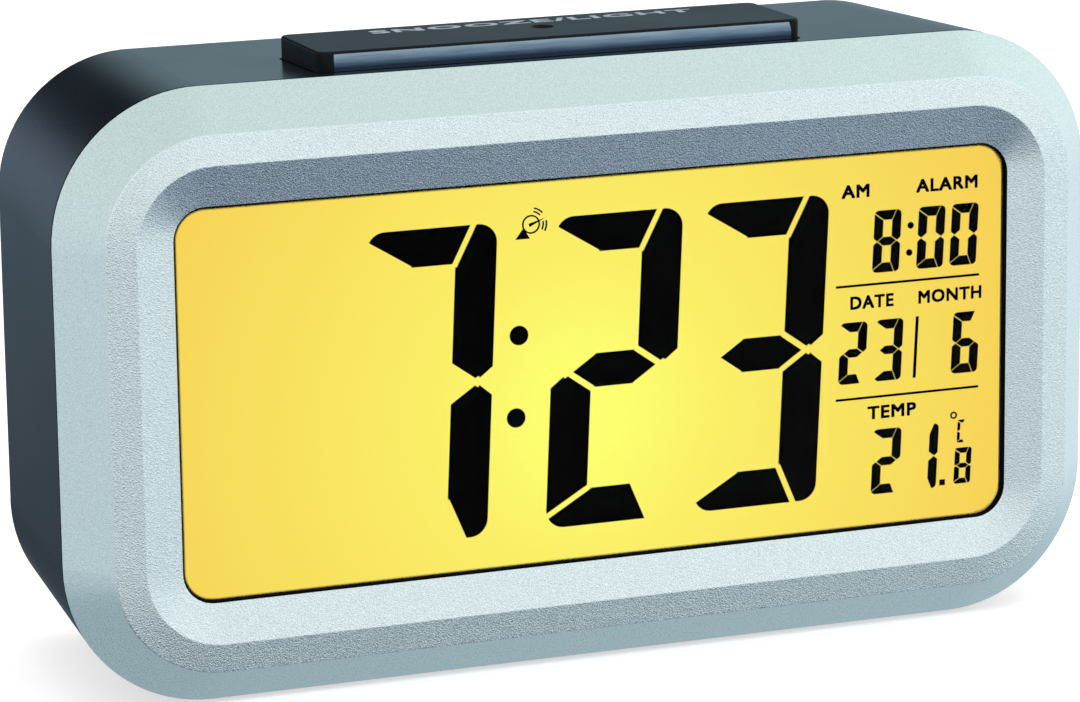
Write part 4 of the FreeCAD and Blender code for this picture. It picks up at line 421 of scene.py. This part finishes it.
class CLOCK_OT_rear_case(bpy.types.Operator):
    """Finishes the rear housing, the battery door and the feet"""

    bl_idname = "clock.rear_case"
    bl_label = "Rear case"

    SHEEN = 0.3                     # specular level of the case
    RIM, RIM_FADE = 0.4, 0.5        # widths of the painted joint shade, a rim with no sheen, and of its fade, in millimetres

    def execute(self, context):
        # ABS from a spark-eroded mould: dark slate with an even fine grain, and a sheen that
        # shows the room dimly.
        case = grained("Spark-textured dark ABS", context.scene.clock_colours.case, 0.22,
                       grain=0.28, relief=0.004, shade=0.1)
        # Painted shade of the joint: the sheen is taken off a thin rim where the housing meets the
        # frame, so it reads as a thin dark line.
        tree = case.node_tree
        shader = tree.nodes["Principled BSDF"]
        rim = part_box("rear_housing")[0].y + self.RIM * MM
        depth = add(tree, "ShaderNodeSeparateXYZ", None,
                    {"Vector": add(tree, "ShaderNodeTexCoord").outputs["Object"]}).outputs["Y"]
        sheen = add(tree, "ShaderNodeMapRange", None,
                    {"Value": depth, "From Min": rim, "From Max": rim + self.RIM_FADE * MM,
                     "To Max": self.SHEEN})
        tree.links.new(sheen.outputs["Result"], shader.inputs["Specular IOR Level"])
        dress(case, "rear_housing", "battery_door")
        # Moulded nitrile rubber: dull black that never shines.
        rubber = grained("Moulded nitrile rubber", linear("17181A"), 0.75,
                         grain=0.15, relief=0.015, shade=0.15)
        dress(rubber, "rubber_feet")
        return {"FINISHED"}


class CLOCK_OT_press_bar(bpy.types.Operator):
    """Finishes the press bar with its strip, sensor and printed words"""

    bl_idname = "clock.press_bar"
    bl_label = "Press bar"

    WORDS_ASIDE = 0.6               # right of the bar's middle, in millimetres
    WORDS_FOOT = 11.05              # behind the bar's front, in millimetres
    BOLD = 0.028                    # thickening of the letters, in the font's units
    STREAK, STRETCH = 0.35, 0.08    # width in millimetres, and width over length
    MOTTLE = 0.12                   # how far streaks shift the painted reflection, as a share of the height
    # Painted reflection in the strip's tint by height, from its foot (0) to its top (1).
    TINTS = ((0.0, "465868"), (0.5, "3A4E62"), (0.58, "4C6075"), (0.8, "6E8596"),
             (0.97, "8A9FAE"))

    def execute(self, context):
        colours = context.scene.clock_colours
        sizes = context.scene.clock_sizes
        # ABS from a vapour-blasted mould: smooth dark blue-grey with a satin sheen.
        bar = grained("Satin moulded ABS", colours.bar, 0.38,
                      grain=0.2, relief=0.004, shade=0.06, specular_ior_level=0.14)
        dress(bar, "press_bar")
        # Smoke-blue acrylic, vacuum metallised behind, with painted reflection: light blue-grey
        # along its upper half, fading to navy below the crease, with faint streaks along its
        # length.
        strip, tree, shader, place = begin("Metallised tinted acrylic",
                                           metallic=1.0, roughness=0.16)
        low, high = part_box("press_bar_strip")
        along = add(tree, "ShaderNodeVectorMath", {"operation": "MULTIPLY"},
                    {0: place, 1: (self.STRETCH, 1.0, 1.0)})
        streaks = add(tree, "ShaderNodeTexNoise", None,
                      {"Vector": along.outputs["Vector"], "Scale": per_metre(self.STREAK),
                       "Detail": 2.0})
        up = add(tree, "ShaderNodeSeparateXYZ", None, {"Vector": place}).outputs["Z"]
        height = add(tree, "ShaderNodeMapRange", None,
                     {"Value": up, "From Min": low.z, "From Max": high.z})
        mottle = add(tree, "ShaderNodeMapRange", None,
                     {"Value": streaks.outputs["Fac"], "To Min": -self.MOTTLE,
                      "To Max": self.MOTTLE})
        share = add(tree, "ShaderNodeMath", {"operation": "ADD"},
                    {0: height.outputs["Result"], 1: mottle.outputs["Result"]})
        tint = add(tree, "ShaderNodeValToRGB", None, {"Fac": share.outputs["Value"]},
                   [(position, linear(code)) for position, code in self.TINTS])
        tree.links.new(tint.outputs["Color"], shader.inputs["Base Color"])
        dress(strip, "press_bar_strip")
        # Clear epoxy cast over a dark cell: black with a small wet glint.
        sensor = grained("Cast clear epoxy over dark cell", linear("0C0D10"), 0.12,
                         grain=0.4, relief=0.002, shade=0.2, coat_weight=1.0, coat_roughness=0.03)
        dress(sensor, "light_sensor")
        low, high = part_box("press_bar")
        lettering("bar_words", "SNOOZE/LIGHT", FACING_UP,
                  left=(low.x + high.x - sizes.bar_word_width) / 2 + self.WORDS_ASIDE * MM,
                  base=low.y + self.WORDS_FOOT * MM, level=high.z,
                  width=sizes.bar_word_width, height=sizes.bar_word_height,
                  depth=INK_SUNK * sizes.ink_depth, bold=self.BOLD,
                  material=printed_ink("Pad-printed grey ink", colours.ink),
                  body="press_bar_body")
        return {"FINISHED"}


class CLOCK_OT_display(bpy.types.Operator):
    """Finishes the lens, the liquid-crystal cell and the light behind it"""

    bl_idname = "clock.display"
    bl_label = "Display"

    GLOW = 1.02                     # emission strength of the lit display
    # Its brightest point, in millimetres from the clock's middle and up from the display's
    # foot, and how far from there it is dimmest.
    GLOW_ACROSS, GLOW_UP, GLOW_REACH = -1.6, 19.5, 62.0
    GLOW_FULL, GLOW_HALF = 0.08, 0.3        # shares of that reach
    HALF_HOT = 0.62                 # how much of the middle's colour is left at GLOW_HALF
    HAZE, RIPPLE = 30.0, 12.0       # width of faint clouds in lens and glass, in millimetres
    CLEAR = 0.001                   # what bonded film and glass hide of what is behind them
    FIGURES = ("time_segments", "alarm_segments", "date_segments", "temperature_segments",
               "display_marks")

    def outline(self, half_width, half_height, radius, y, middle):
        """Points round a rectangle with rounded corners, seen from the front."""
        points = []
        for corner in range(4):
            across = half_width - radius if corner in (0, 3) else radius - half_width
            up = half_height - radius if corner in (0, 1) else radius - half_height
            for step in range(CORNER_STEPS + 1):
                turn = math.radians(90) * (corner + step / CORNER_STEPS)
                points.append((across + radius * math.cos(turn), y,
                               middle + up + radius * math.sin(turn)))
        return points

    def border(self, sizes):
        """The black frame printed on the front of the lens, solid outside, with painted shade
        fading out inside it.
        """
        low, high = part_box("display_lens")
        middle = (low.z + high.z) / 2
        half_width = high.x - sizes.lens_overlap
        half_height = (high.z - low.z) / 2 - sizes.lens_overlap
        radius = sizes.window_radius
        inset = sizes.border_width + sizes.border_fade
        loops = []
        for draw_in in (0.0, inset):
            for y in (low.y - sizes.ink_depth, low.y):
                loops.append(self.outline(half_width - draw_in, half_height - draw_in,
                                          radius - draw_in, y, middle))
        count = len(loops[0])
        around = [(index, (index + 1) % count) for index in range(count)]
        faces = []
        for first, second in ((0, 2), (2, 3), (3, 1), (1, 0)):
            faces += [(first * count + here, first * count + after, second * count + after,
                       second * count + here) for here, after in around]
        mesh = bpy.data.meshes.new("lens_border")
        mesh.from_pydata([point for loop in loops for point in loop], [], faces)
        # Screen-printed ink: dense black; inside it, painted shade of the frame fades out over the
        # display's edge.
        ink, tree, shader, place = begin("Screen-printed black border", base_color=linear("060606"),
                                         roughness=0.5, specular_ior_level=0.1)
        centred = add(tree, "ShaderNodeVectorMath", {"operation": "SUBTRACT"},
                      {0: place, 1: (0.0, 0.0, middle)})
        folded = add(tree, "ShaderNodeVectorMath", {"operation": "ABSOLUTE"},
                     {0: centred.outputs["Vector"]})
        corner = add(tree, "ShaderNodeVectorMath", {"operation": "SUBTRACT"},
                     {0: folded.outputs["Vector"],
                      1: (half_width - radius, 1.0, half_height - radius)})
        outer = add(tree, "ShaderNodeVectorMath", {"operation": "MAXIMUM"},
                    {0: corner.outputs["Vector"], 1: (0.0, 0.0, 0.0)})
        reach = add(tree, "ShaderNodeVectorMath", {"operation": "LENGTH"},
                    {0: outer.outputs["Vector"]})
        solid = add(tree, "ShaderNodeMapRange", {"interpolation_type": "SMOOTHSTEP"},
                    {"Value": reach.outputs["Value"], "From Min": radius - inset,
                     "From Max": radius - sizes.border_width})
        dense = add(tree, "ShaderNodeMath", {"operation": "POWER"},
                    {0: solid.outputs["Result"], 1: 2.0})
        tree.links.new(dense.outputs["Value"], shader.inputs["Alpha"])
        piece("lens_border", mesh, ink, "clock_body")

    def glow(self, material, colours):
        """Light of its own for a finish, brightest low and left of the display's middle."""
        tree = material.node_tree
        shader = tree.nodes["Principled BSDF"]
        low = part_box("rear_polariser")[0]
        middle = Vector((self.GLOW_ACROSS * MM, low.y, low.z + self.GLOW_UP * MM))
        far = add(tree, "ShaderNodeVectorMath", {"operation": "DISTANCE"},
                  {0: add(tree, "ShaderNodeTexCoord").outputs["Object"], 1: middle})
        reach = add(tree, "ShaderNodeMapRange", None,
                    {"Value": far.outputs["Value"], "From Max": self.GLOW_REACH * MM})
        edge, hot = colours.glow_edge, colours.glow_middle
        between = [(1 - self.HALF_HOT) * e + self.HALF_HOT * h for e, h in zip(edge, hot)]
        light = add(tree, "ShaderNodeValToRGB", None, {"Fac": reach.outputs["Result"]},
                    ((self.GLOW_FULL, hot), (self.GLOW_HALF, between), (1.0, edge)))
        tree.links.new(light.outputs["Color"], shader.inputs["Emission Color"])
        shader.inputs["Emission Strength"].default_value = self.GLOW

    def execute(self, context):
        colours = context.scene.clock_colours
        # Cast acrylic, polished and hard-coated against reflections: only its edge is seen.
        lens, tree, shader, place = begin("Coated clear acrylic", transmission_weight=1.0,
                                          roughness=0.0, ior=1.49, specular_tint=linear("030303"))
        haze = add(tree, "ShaderNodeTexNoise", None,
                   {"Vector": place, "Scale": per_metre(self.HAZE), "Detail": 2.0})
        tone = add(tree, "ShaderNodeValToRGB", None, {"Fac": haze.outputs["Fac"]},
                   ((NOISE_LOW, linear("FDFEFE")), (NOISE_HIGH, linear("FFFFFF"))))
        tree.links.new(tone.outputs["Color"], shader.inputs["Base Color"])
        dress(lens, "display_lens")
        # Stretched polarising film and drawn float glass: bonded with glue of their own
        # index, so they send no light back and are hardly there.
        for name, code, nodes in (
                ("Stretched polarising film", "3A3A2C", ["front_polariser"]),
                ("Drawn soda-lime glass", "34382F", ["front_glass", "rear_glass"])):
            clear, tree, shader, place = begin(name, alpha=self.CLEAR, roughness=0.05,
                                               specular_ior_level=0.1)
            ripple = add(tree, "ShaderNodeTexNoise", None,
                         {"Vector": place, "Scale": per_metre(self.RIPPLE), "Detail": 1.0})
            tone = add(tree, "ShaderNodeValToRGB", None, {"Fac": ripple.outputs["Fac"]},
                       ((NOISE_LOW, shaded(linear(code), -0.01)), (NOISE_HIGH, linear(code))))
            tree.links.new(tone.outputs["Color"], shader.inputs["Base Color"])
            dress(clear, *nodes)
        self.border(context.scene.clock_sizes)
        # Transflective film over an injection-moulded acrylic light guide with printed dots,
        # both lit by amber diodes: what shows is their light, not the colour under it.
        film = grained("Lit transflective film", linear("050403"), 0.6, grain=0.4, relief=0.001,
                       specular_ior_level=0.0)
        guide = grained("Dotted acrylic light guide", linear("060503"), 0.4, grain=0.8,
                        relief=0.004, specular_ior_level=0.0)
        for material, node in ((film, "rear_polariser"), (guide, "light_guide")):
            self.glow(material, colours)
            dress(material, node)
        crystal = driven_crystal("Driven liquid crystal")
        dress(crystal, *self.FIGURES)
        # The driven layer inside each figure: its faces stand clear of the glass, so the
        # figure stays solid where its own faces lie exactly on those of the glass.
        thinner = Matrix.Diagonal((1.0, LAYER_SHARE, 1.0, 1.0))
        for figure in self.FIGURES:
            low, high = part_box(figure)
            middle = Matrix.Translation((0.0, (low.y + high.y) / 2, 0.0))
            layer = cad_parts[figure].data.copy()
            layer.transform(middle @ thinner @ middle.inverted())
            layer.name = figure + "_layer"
            piece(figure + "_layer", layer, crystal, "clock_body")
        # Closed-cell polyethylene foam, die cut: matt black, takes in the light at the edge.
        foam = grained("Die-cut black foam", linear("0B0B0C"), 0.9,
                       grain=0.3, relief=0.03, shade=0.25, specular_ior_level=0.1)
        dress(foam, "display_gasket")
        # Screened epoxy bead: a cream line round the cell.
        dress(grained("Screened epoxy bead", linear("D6CDA8"), 0.45, grain=0.2, relief=0.01),
              "cell_seal")
        # Filled polyester sheet: bright matt white.
        dress(grained("White polyester sheet", linear("EFEFEA"), 0.6, grain=0.1, relief=0.002,
                      shade=0.03), "reflector_sheet")
        # Phosphor set in silicone: a soft yellow pillow on each diode.
        dress(grained("Phosphor-filled silicone", linear("E8CF55"), 0.4, grain=0.08, relief=0.004),
              "backlight_diodes")
        # ABS from a plain mould: white with the faint flow marks of a hidden part.
        dress(grained("White moulded ABS", linear("DEDEDA"), 0.48, grain=0.3, relief=0.006,
                      shade=0.03), "display_tray")
        # Silicone with layers of carbon: a grey rubber strip, darker in fine lines.
        dress(grained("Layered silicone strip", linear("8C8389"), 0.6, grain=0.1, relief=0.004,
                      shade=0.3), "zebra_connector")
        return {"FINISHED"}


class CLOCK_OT_display_words(bpy.types.Operator):
    """Sets the small words into the liquid-crystal cell"""

    bl_idname = "clock.display_words"
    bl_label = "Display words"

    # Word, left edge, right edge and foot, in millimetres from the clock's middle and floor.
    WORDS = (
        ("AM", 32.90, 36.70, 55.9),
        ("ALARM", 43.12, 51.61, 55.9),
        ("DATE", 34.14, 40.08, 41.72),
        ("MONTH", 43.52, 52.28, 41.68),
        ("TEMP", 36.56, 43.27, 27.41),
    )
    BOLD = 0.03                     # thickening of the letters, in the font's units

    def execute(self, context):
        crystal = driven_crystal("Driven liquid crystal, small words")
        low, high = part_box("time_segments")
        for words, left, right, foot in self.WORDS:
            lettering(words.lower() + "_word", words, FACING_FRONT,
                      left=left * MM, base=foot * MM, level=-(low.y + high.y) / 2,
                      width=(right - left) * MM, height=context.scene.clock_sizes.word_height,
                      depth=LAYER_SHARE * (high.y - low.y), bold=self.BOLD, material=crystal,
                      body="clock_body")
        return {"FINISHED"}


class CLOCK_OT_rear_controls(bpy.types.Operator):
    """Finishes the rear keys and the slide switch, with their printed words"""

    bl_idname = "clock.rear_controls"
    bl_label = "Rear controls"

    # Words over the keys, from the left as seen from behind, and their widths in millimetres;
    # then those beside the slide switch, with the side that each is on.
    KEY_WORDS = (("key_4", "SET", 3.6), ("key_3", "ALARM", 6.2), ("key_2", "+", 1.6),
                 ("key_1", "-", 1.6))
    SLIDE_WORDS = (("ON", 2.6, 1), ("OFF", 3.6, -1))
    WORD_GAP = 1.0                  # from a key's top to its word, in millimetres
    MINUS_HEIGHT = 0.25             # in millimetres
    HALF_TRAVEL = 1.25              # of the slide knob, in millimetres
    SLIDE_REACH = 6.2               # from the slide's middle to a word's, in millimetres
    BOLD = 0.015                    # thickening of the letters, in the font's units

    def label(self, name, words, x, z, width, height, ink):
        """A word printed on the rear face, centred at x with its foot at z."""
        sizes = bpy.context.scene.clock_sizes
        lettering(name, words, FACING_REAR, left=-x - width / 2, base=z,
                  level=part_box("rear_housing")[1].y, width=width, height=height,
                  depth=INK_SUNK * sizes.ink_depth, bold=self.BOLD, material=ink,
                  body="clock_body")

    def execute(self, context):
        tall = context.scene.clock_sizes.key_word_height
        # ABS from a satin mould: mid grey, smoother than the case so that fingers find it.
        keys = grained("Satin grey ABS keys", linear("4A5056"), 0.38, grain=0.18, relief=0.005)
        dress(keys, "key_1", "key_2", "key_3", "key_4")
        # Moulded acetal: waxy near black.
        acetal = grained("Moulded black acetal", linear("222326"), 0.32, grain=0.25, relief=0.004,
                         specular_ior_level=0.6)
        dress(acetal, "key_plunger_1", "key_plunger_2", "key_plunger_3", "key_plunger_4",
              "snooze_plunger", "slide_switch_knob")
        ink = printed_ink("Pad-printed grey ink, rear", context.scene.clock_colours.ink)
        for key, words, width in self.KEY_WORDS:
            low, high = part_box(key)
            height = self.MINUS_HEIGHT * MM if words == "-" else tall
            foot = high.z + self.WORD_GAP * MM + (tall - height) / 2
            self.label(key + "_word", words, (low.x + high.x) / 2, foot, width * MM, height, ink)
        low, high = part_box("slide_switch_knob")
        for words, width, side in self.SLIDE_WORDS:
            aside = (self.HALF_TRAVEL + side * self.SLIDE_REACH) * MM
            self.label("slide_" + words.lower() + "_word", words, (low.x + high.x) / 2 + aside,
                       (low.z + high.z - tall) / 2, width * MM, tall, ink)
        return {"FINISHED"}


class CLOCK_OT_screws(bpy.types.Operator):
    """Plates the case screws and the small screws"""

    bl_idname = "clock.screws"
    bl_label = "Screws"

    def execute(self, context):
        # Zinc-plated, blue-passivated steel: cool bright grey with faint blotches.
        zinc = grained("Passivated zinc plate on steel", linear("B4B9BE"), 0.3, grain=0.4,
                       relief=0.004, shade=0.08, cloud=0.12, metallic=1.0)
        dress(zinc, "case_screws", "small_screws")
        return {"FINISHED"}


class CLOCK_OT_electronics(bpy.types.Operator):
    """Finishes the boards, switches, coil, rod and other parts inside"""

    bl_idname = "clock.electronics"
    bl_label = "Electronics"

    WIRE, GROOVE = 0.25, 0.05       # width of a turn of the coil and depth between two, in mm

    def execute(self, context):
        # Glass-epoxy board with green solder mask: a soft gloss over a woven ripple.
        dress(grained("Green solder mask on glass-epoxy", linear("1D5B37"), 0.3, grain=0.5,
                      relief=0.008, shade=0.12, coat_weight=0.3),
              "main_board", "key_board", "snooze_board", "radio_board", "backlight_strips")
        # Poured black epoxy: a glossy drop over the chip.
        dress(grained("Poured black epoxy", linear("121214"), 0.22, grain=1.2, relief=0.01),
              "controller_blob")
        # Tinned steel can: bright and slightly milky.
        dress(grained("Tinned steel can", linear("C9C9C6"), 0.28, grain=0.3, relief=0.003,
                      metallic=1.0), "crystal", "slide_switch_body")
        # Shrunk PVC sleeve: dark blue, tight and glossy.
        dress(grained("Shrunk blue PVC sleeve", linear("1B2A5E"), 0.25, grain=0.5, relief=0.004),
              "capacitors")
        # Sintered ferrite: dull charcoal with a fine sparkle.
        dress(grained("Sintered ferrite", linear("3A3A3C"), 0.55, grain=0.12, relief=0.01,
                      shade=0.2), "ferrite_rod", "speaker_magnet")
        # Nylon 6 with glass fibre: black, faintly streaked.
        dress(grained("Glass-filled black nylon", linear("1C1D1F"), 0.5, grain=0.25, relief=0.008,
                      shade=0.15), "key_switches", "snooze_switch")
        # Wound enamelled copper: fine turns side by side, each with a thin bright line.
        copper, tree, shader, place = begin("Wound enamelled copper", base_color=linear("C87A45"),
                                            metallic=1.0, roughness=0.3)
        turns = add(tree, "ShaderNodeTexWave", {"wave_type": "BANDS", "bands_direction": "X"},
                    {"Vector": place, "Scale": per_metre(self.WIRE) * math.tau / WAVE_TURN,
                     "Distortion": 0.2})
        bump = add(tree, "ShaderNodeBump", None,
                   {"Height": turns.outputs["Fac"], "Distance": self.GROOVE * MM,
                    "Strength": 1.0})
        tree.links.new(bump.outputs["Normal"], shader.inputs["Normal"])
        dress(copper, "antenna_coil")
        return {"FINISHED"}


class CLOCK_OT_power_and_sound(bpy.types.Operator):
    """Finishes the batteries, contacts, springs, wires and speaker"""

    bl_idname = "clock.power_and_sound"
    bl_label = "Power and sound"

    def execute(self, context):
        # Printed polyester jacket on a drawn can: plain grey, glossy.
        dress(grained("Printed polyester jacket", linear("8A9299"), 0.22, grain=0.6, relief=0.002,
                      shade=0.04, coat_weight=0.5), "batteries")
        # Nickel plate on phosphor bronze: warm bright grey.
        dress(grained("Nickel plate on bronze", linear("C4BFB4"), 0.22, grain=0.3, relief=0.003,
                      metallic=1.0), "flat_contacts", "spring_contacts")
        # Oil-tempered spring wire: dark steel with fine draw lines.
        dress(grained("Drawn spring steel", linear("9B9C9E"), 0.3, grain=0.1, relief=0.004,
                      metallic=1.0), "bar_springs")
        # Extruded PVC: soft dull colour round thin wire.
        dress(grained("Extruded red PVC sleeve", linear("8E1F1B"), 0.42, grain=0.3, relief=0.004),
              "battery_leads")
        dress(grained("Extruded black PVC sleeve", linear("1A1A1B"), 0.42, grain=0.3, relief=0.004),
              "speaker_leads", "board_cables")
        # Pressed steel, zinc plated: thin and cool grey.
        dress(grained("Pressed plated steel", linear("A9ADB0"), 0.34, grain=0.4, relief=0.005,
                      metallic=1.0), "speaker_basket")
        # Vacuum-formed polyester film: brownish, thin and glossy.
        dress(grained("Formed polyester cone", linear("3A342C"), 0.3, grain=0.5, relief=0.01,
                      shade=0.15), "speaker_cone")
        return {"FINISHED"}


# ------------------------------------------------------------------ the studio
class CLOCK_OT_stage(bpy.types.Operator):
    """Sets out the floor, the even room light, the lamps and the camera"""

    bl_idname = "clock.stage"
    bl_label = "Stage"

    # Sheen of the room by height, from straight down (-1) to straight up (1).
    FRONT = ((-1.0, "8090A0"), (-0.8, "5E6C7A"), (-0.62, "3A424E"), (-0.5, "5C6684"),
             (-0.38, "F4F8FA"), (-0.22, "DAE2E4"), (0.0, "F4F1F8"), (0.1, "FFFFFF"),
             (0.5, "FFFFFF"), (1.0, "E1EAE8"))
    SIDES = ((-0.5, "A9B8BF"), (-0.22, "DCE5EB"), (0.1, "E4ECEC"), (1.0, "E1EAE8"))
    REAR_LEFT = ((-0.5, "485360"), (-0.27, "525E69"), (-0.21, "687B88"), (-0.14, "8295A8"),
                 (-0.02, "98ACC3"), (0.07, "90A4BA"), (0.12, "76879A"), (0.17, "05070A"))
    REAR_RIGHT = "95B1BC"
    # Smooth changes round the room: their axis, where they start and end along it (X from the
    # left, -1, to the right, 1; Y from the front, -1, to the rear, 1), and their values there.
    TURNS = (
        ("Y", -0.6, -0.35, 0.0, 1.0),       # from the front to the sides
        ("X", 0.1, 0.7, 0.95, 1.2),         # brightness of front and sides
        ("X", 0.06, 0.28, 0.0, 1.0),        # from the rear's left to its right
        ("Y", 0.6, 0.8, 0.0, 1.0),          # from the sides to the rear
    )
    # Lamps: place, width and depth, in metres.
    TOP_LAMP = ((0.15, -0.25, 1.0), 1.0, 0.8)
    SIDE_LAMP = ((0.9, -0.7, 0.45), 0.6, 0.6)
    FLOOR_GLOW = "D0D0D0"           # added to the lit paper so that it reads as white
    SENSOR = 36.0                   # width of the camera's sensor, in millimetres

    def lamp(self, name, place, width, depth, power):
        """A soft rectangular lamp that looks at the clock."""
        data = bpy.data.lights.new(name, "AREA")
        data.shape = "RECTANGLE"
        data.size, data.size_y = width, depth
        data.energy = power
        made = placed(name, data)
        made.visible_glossy = False
        way = Vector((0.0, 0.0, (cad_low.z + cad_high.z) / 2)) - Vector(place)
        made.matrix_world = (Matrix.Translation(place)
                             @ way.to_track_quat("-Z", "Y").to_matrix().to_4x4())

    def white_rays(self, tree):
        """One for rays that show the background: straight, mirrored or through glass."""
        path = add(tree, "ShaderNodeLightPath").outputs
        seen = add(tree, "ShaderNodeMath", {"operation": "MAXIMUM"},
                   {0: path["Is Camera Ray"], 1: path["Is Glossy Ray"]})
        return add(tree, "ShaderNodeMath", {"operation": "MAXIMUM"},
                   {0: seen.outputs[0], 1: path["Is Transmission Ray"]}).outputs[0]

    def floor(self, size):
        """A pale floor that keeps the clock's shadow."""
        mesh = bpy.data.meshes.new("floor")
        half = size / 2
        mesh.from_pydata([(-half, -half, 0.0), (half, -half, 0.0), (half, half, 0.0),
                          (-half, half, 0.0)], [], [(0, 1, 2, 3)])
        made = placed("floor", mesh)
        # Matt white paper: bright, with its faint fibre.
        paper = grained("Matt white paper", linear("F2F2F2"), 0.8, grain=0.6, relief=0.003,
                        shade=0.01, cloud=0.0, specular_ior_level=0.1)
        tree = paper.node_tree
        glow = add(tree, "ShaderNodeEmission", None,
                   {"Color": linear(self.FLOOR_GLOW), "Strength": self.white_rays(tree)})
        both = add(tree, "ShaderNodeAddShader", None,
                   {0: tree.nodes["Principled BSDF"].outputs["BSDF"], 1: glow.outputs["Emission"]})
        tree.links.new(both.outputs["Shader"], tree.nodes["Material Output"].inputs["Surface"])
        mesh.materials.append(paper)
        made.visible_glossy = False

    def mirrored(self, tree):
        """What glossy faces mirror: white above the horizon, dimmer floor below it.

        A dark band crosses the floor in front, and the right side is brighter than the
        left. Behind the clock stand a blue-grey wall and, high on the left, a dark flag,
        so that the dark case shows its form.
        """
        way = add(tree, "ShaderNodeSeparateXYZ", None,
                  {"Vector": add(tree, "ShaderNodeTexCoord").outputs["Generated"]}).outputs
        height = add(tree, "ShaderNodeMapRange", None,
                     {"Value": way["Z"], "From Min": -1.0, "From Max": 1.0}).outputs["Result"]
        front, sides, left = [
            add(tree, "ShaderNodeValToRGB", None, {"Fac": height},
                [((up + 1) / 2, linear(code)) for up, code in table]).outputs["Color"]
            for table in (self.FRONT, self.SIDES, self.REAR_LEFT)]
        to_sides, level, to_right, to_rear = [
            add(tree, "ShaderNodeMapRange", {"interpolation_type": "SMOOTHSTEP"},
                {"Value": way[axis], "From Min": start, "From Max": end, "To Min": first,
                 "To Max": last}).outputs["Result"]
            for axis, start, end, first, last in self.TURNS]
        near = add(tree, "ShaderNodeMix", {"data_type": "RGBA"},
                   {"Factor": to_sides, "A": front, "B": sides})
        lit = add(tree, "ShaderNodeVectorMath", {"operation": "SCALE"},
                  {0: near.outputs[2], "Scale": level})
        rear = add(tree, "ShaderNodeMix", {"data_type": "RGBA"},
                   {"Factor": to_right, "A": left, "B": linear(self.REAR_RIGHT)})
        return add(tree, "ShaderNodeMix", {"data_type": "RGBA"},
                   {"Factor": to_rear, "A": lit.outputs["Vector"], "B": rear.outputs[2]}).outputs[2]

    def execute(self, context):
        studio = context.scene.clock_studio
        self.floor(studio.floor_size)
        world = bpy.data.worlds.new("Studio")
        context.scene.world = world
        world.use_nodes = True
        tree = world.node_tree
        level = add(tree, "ShaderNodeMapRange", None,
                    {"Value": self.white_rays(tree), "To Min": studio.room_light, "To Max": 1.0})
        tree.links.new(level.outputs["Result"], tree.nodes["Background"].inputs["Strength"])
        glossy = add(tree, "ShaderNodeLightPath").outputs["Is Glossy Ray"]
        colour = add(tree, "ShaderNodeMix", {"data_type": "RGBA"},
                     {"Factor": glossy, "A": linear("FFFFFF"), "B": self.mirrored(tree)})
        tree.links.new(colour.outputs[2], tree.nodes["Background"].inputs["Color"])
        self.lamp("top_lamp", *self.TOP_LAMP, studio.top_power)
        self.lamp("side_lamp", *self.SIDE_LAMP, studio.side_power)
        data = bpy.data.cameras.new("camera")
        data.lens = studio.lens
        data.sensor_width = self.SENSOR
        camera = placed("camera", data)
        camera.matrix_world = (Matrix.Translation(studio.camera_place)
                               @ Matrix.Rotation(-studio.yaw, 4, "Z")
                               @ Matrix.Rotation(math.radians(90) + studio.pitch, 4, "X")
                               @ Matrix.Rotation(studio.roll, 4, "Z"))
        context.scene.camera = camera
        context.scene.view_settings.view_transform = "Standard"
        return {"FINISHED"}


class CLOCK_PT_pieces(bpy.types.Panel):
    """Lists the clock's pieces in the sidebar"""

    bl_label = "Clock"
    bl_idname = "CLOCK_PT_pieces"
    bl_space_type = "VIEW_3D"
    bl_region_type = "UI"
    bl_category = "Clock"

    def draw(self, context):
        for name, group in GROUPS.items():
            box = self.layout.box()
            for value in group.__annotations__:
                box.prop(getattr(context.scene, name), value)
        for kind in OPERATORS:
            self.layout.operator(kind.bl_idname)


OPERATORS = (
    CLOCK_OT_front_frame,
    CLOCK_OT_rear_case,
    CLOCK_OT_press_bar,
    CLOCK_OT_display,
    CLOCK_OT_display_words,
    CLOCK_OT_rear_controls,
    CLOCK_OT_screws,
    CLOCK_OT_electronics,
    CLOCK_OT_power_and_sound,
    CLOCK_OT_stage,
)
GROUPS = {
    "clock_colours": ClockColours,
    "clock_sizes": ClockSizes,
    "clock_studio": ClockStudio,
}


def register():
    for kind in (*GROUPS.values(), *OPERATORS, CLOCK_PT_pieces):
        bpy.utils.register_class(kind)
    for name, group in GROUPS.items():
        setattr(bpy.types.Scene, name, PointerProperty(type=group))


def unregister():
    for name in GROUPS:
        delattr(bpy.types.Scene, name)
    for kind in reversed((*GROUPS.values(), *OPERATORS, CLOCK_PT_pieces)):
        bpy.utils.unregister_class(kind)


def main():
    register()
    bpy.ops.clock.front_frame()
    bpy.ops.clock.rear_case()
    bpy.ops.clock.press_bar()
    bpy.ops.clock.display()
    bpy.ops.clock.display_words()
    bpy.ops.clock.rear_controls()
    bpy.ops.clock.screws()
    bpy.ops.clock.electronics()
    bpy.ops.clock.power_and_sound()
    bpy.ops.clock.stage()


if __name__ == "__main__":
    main()
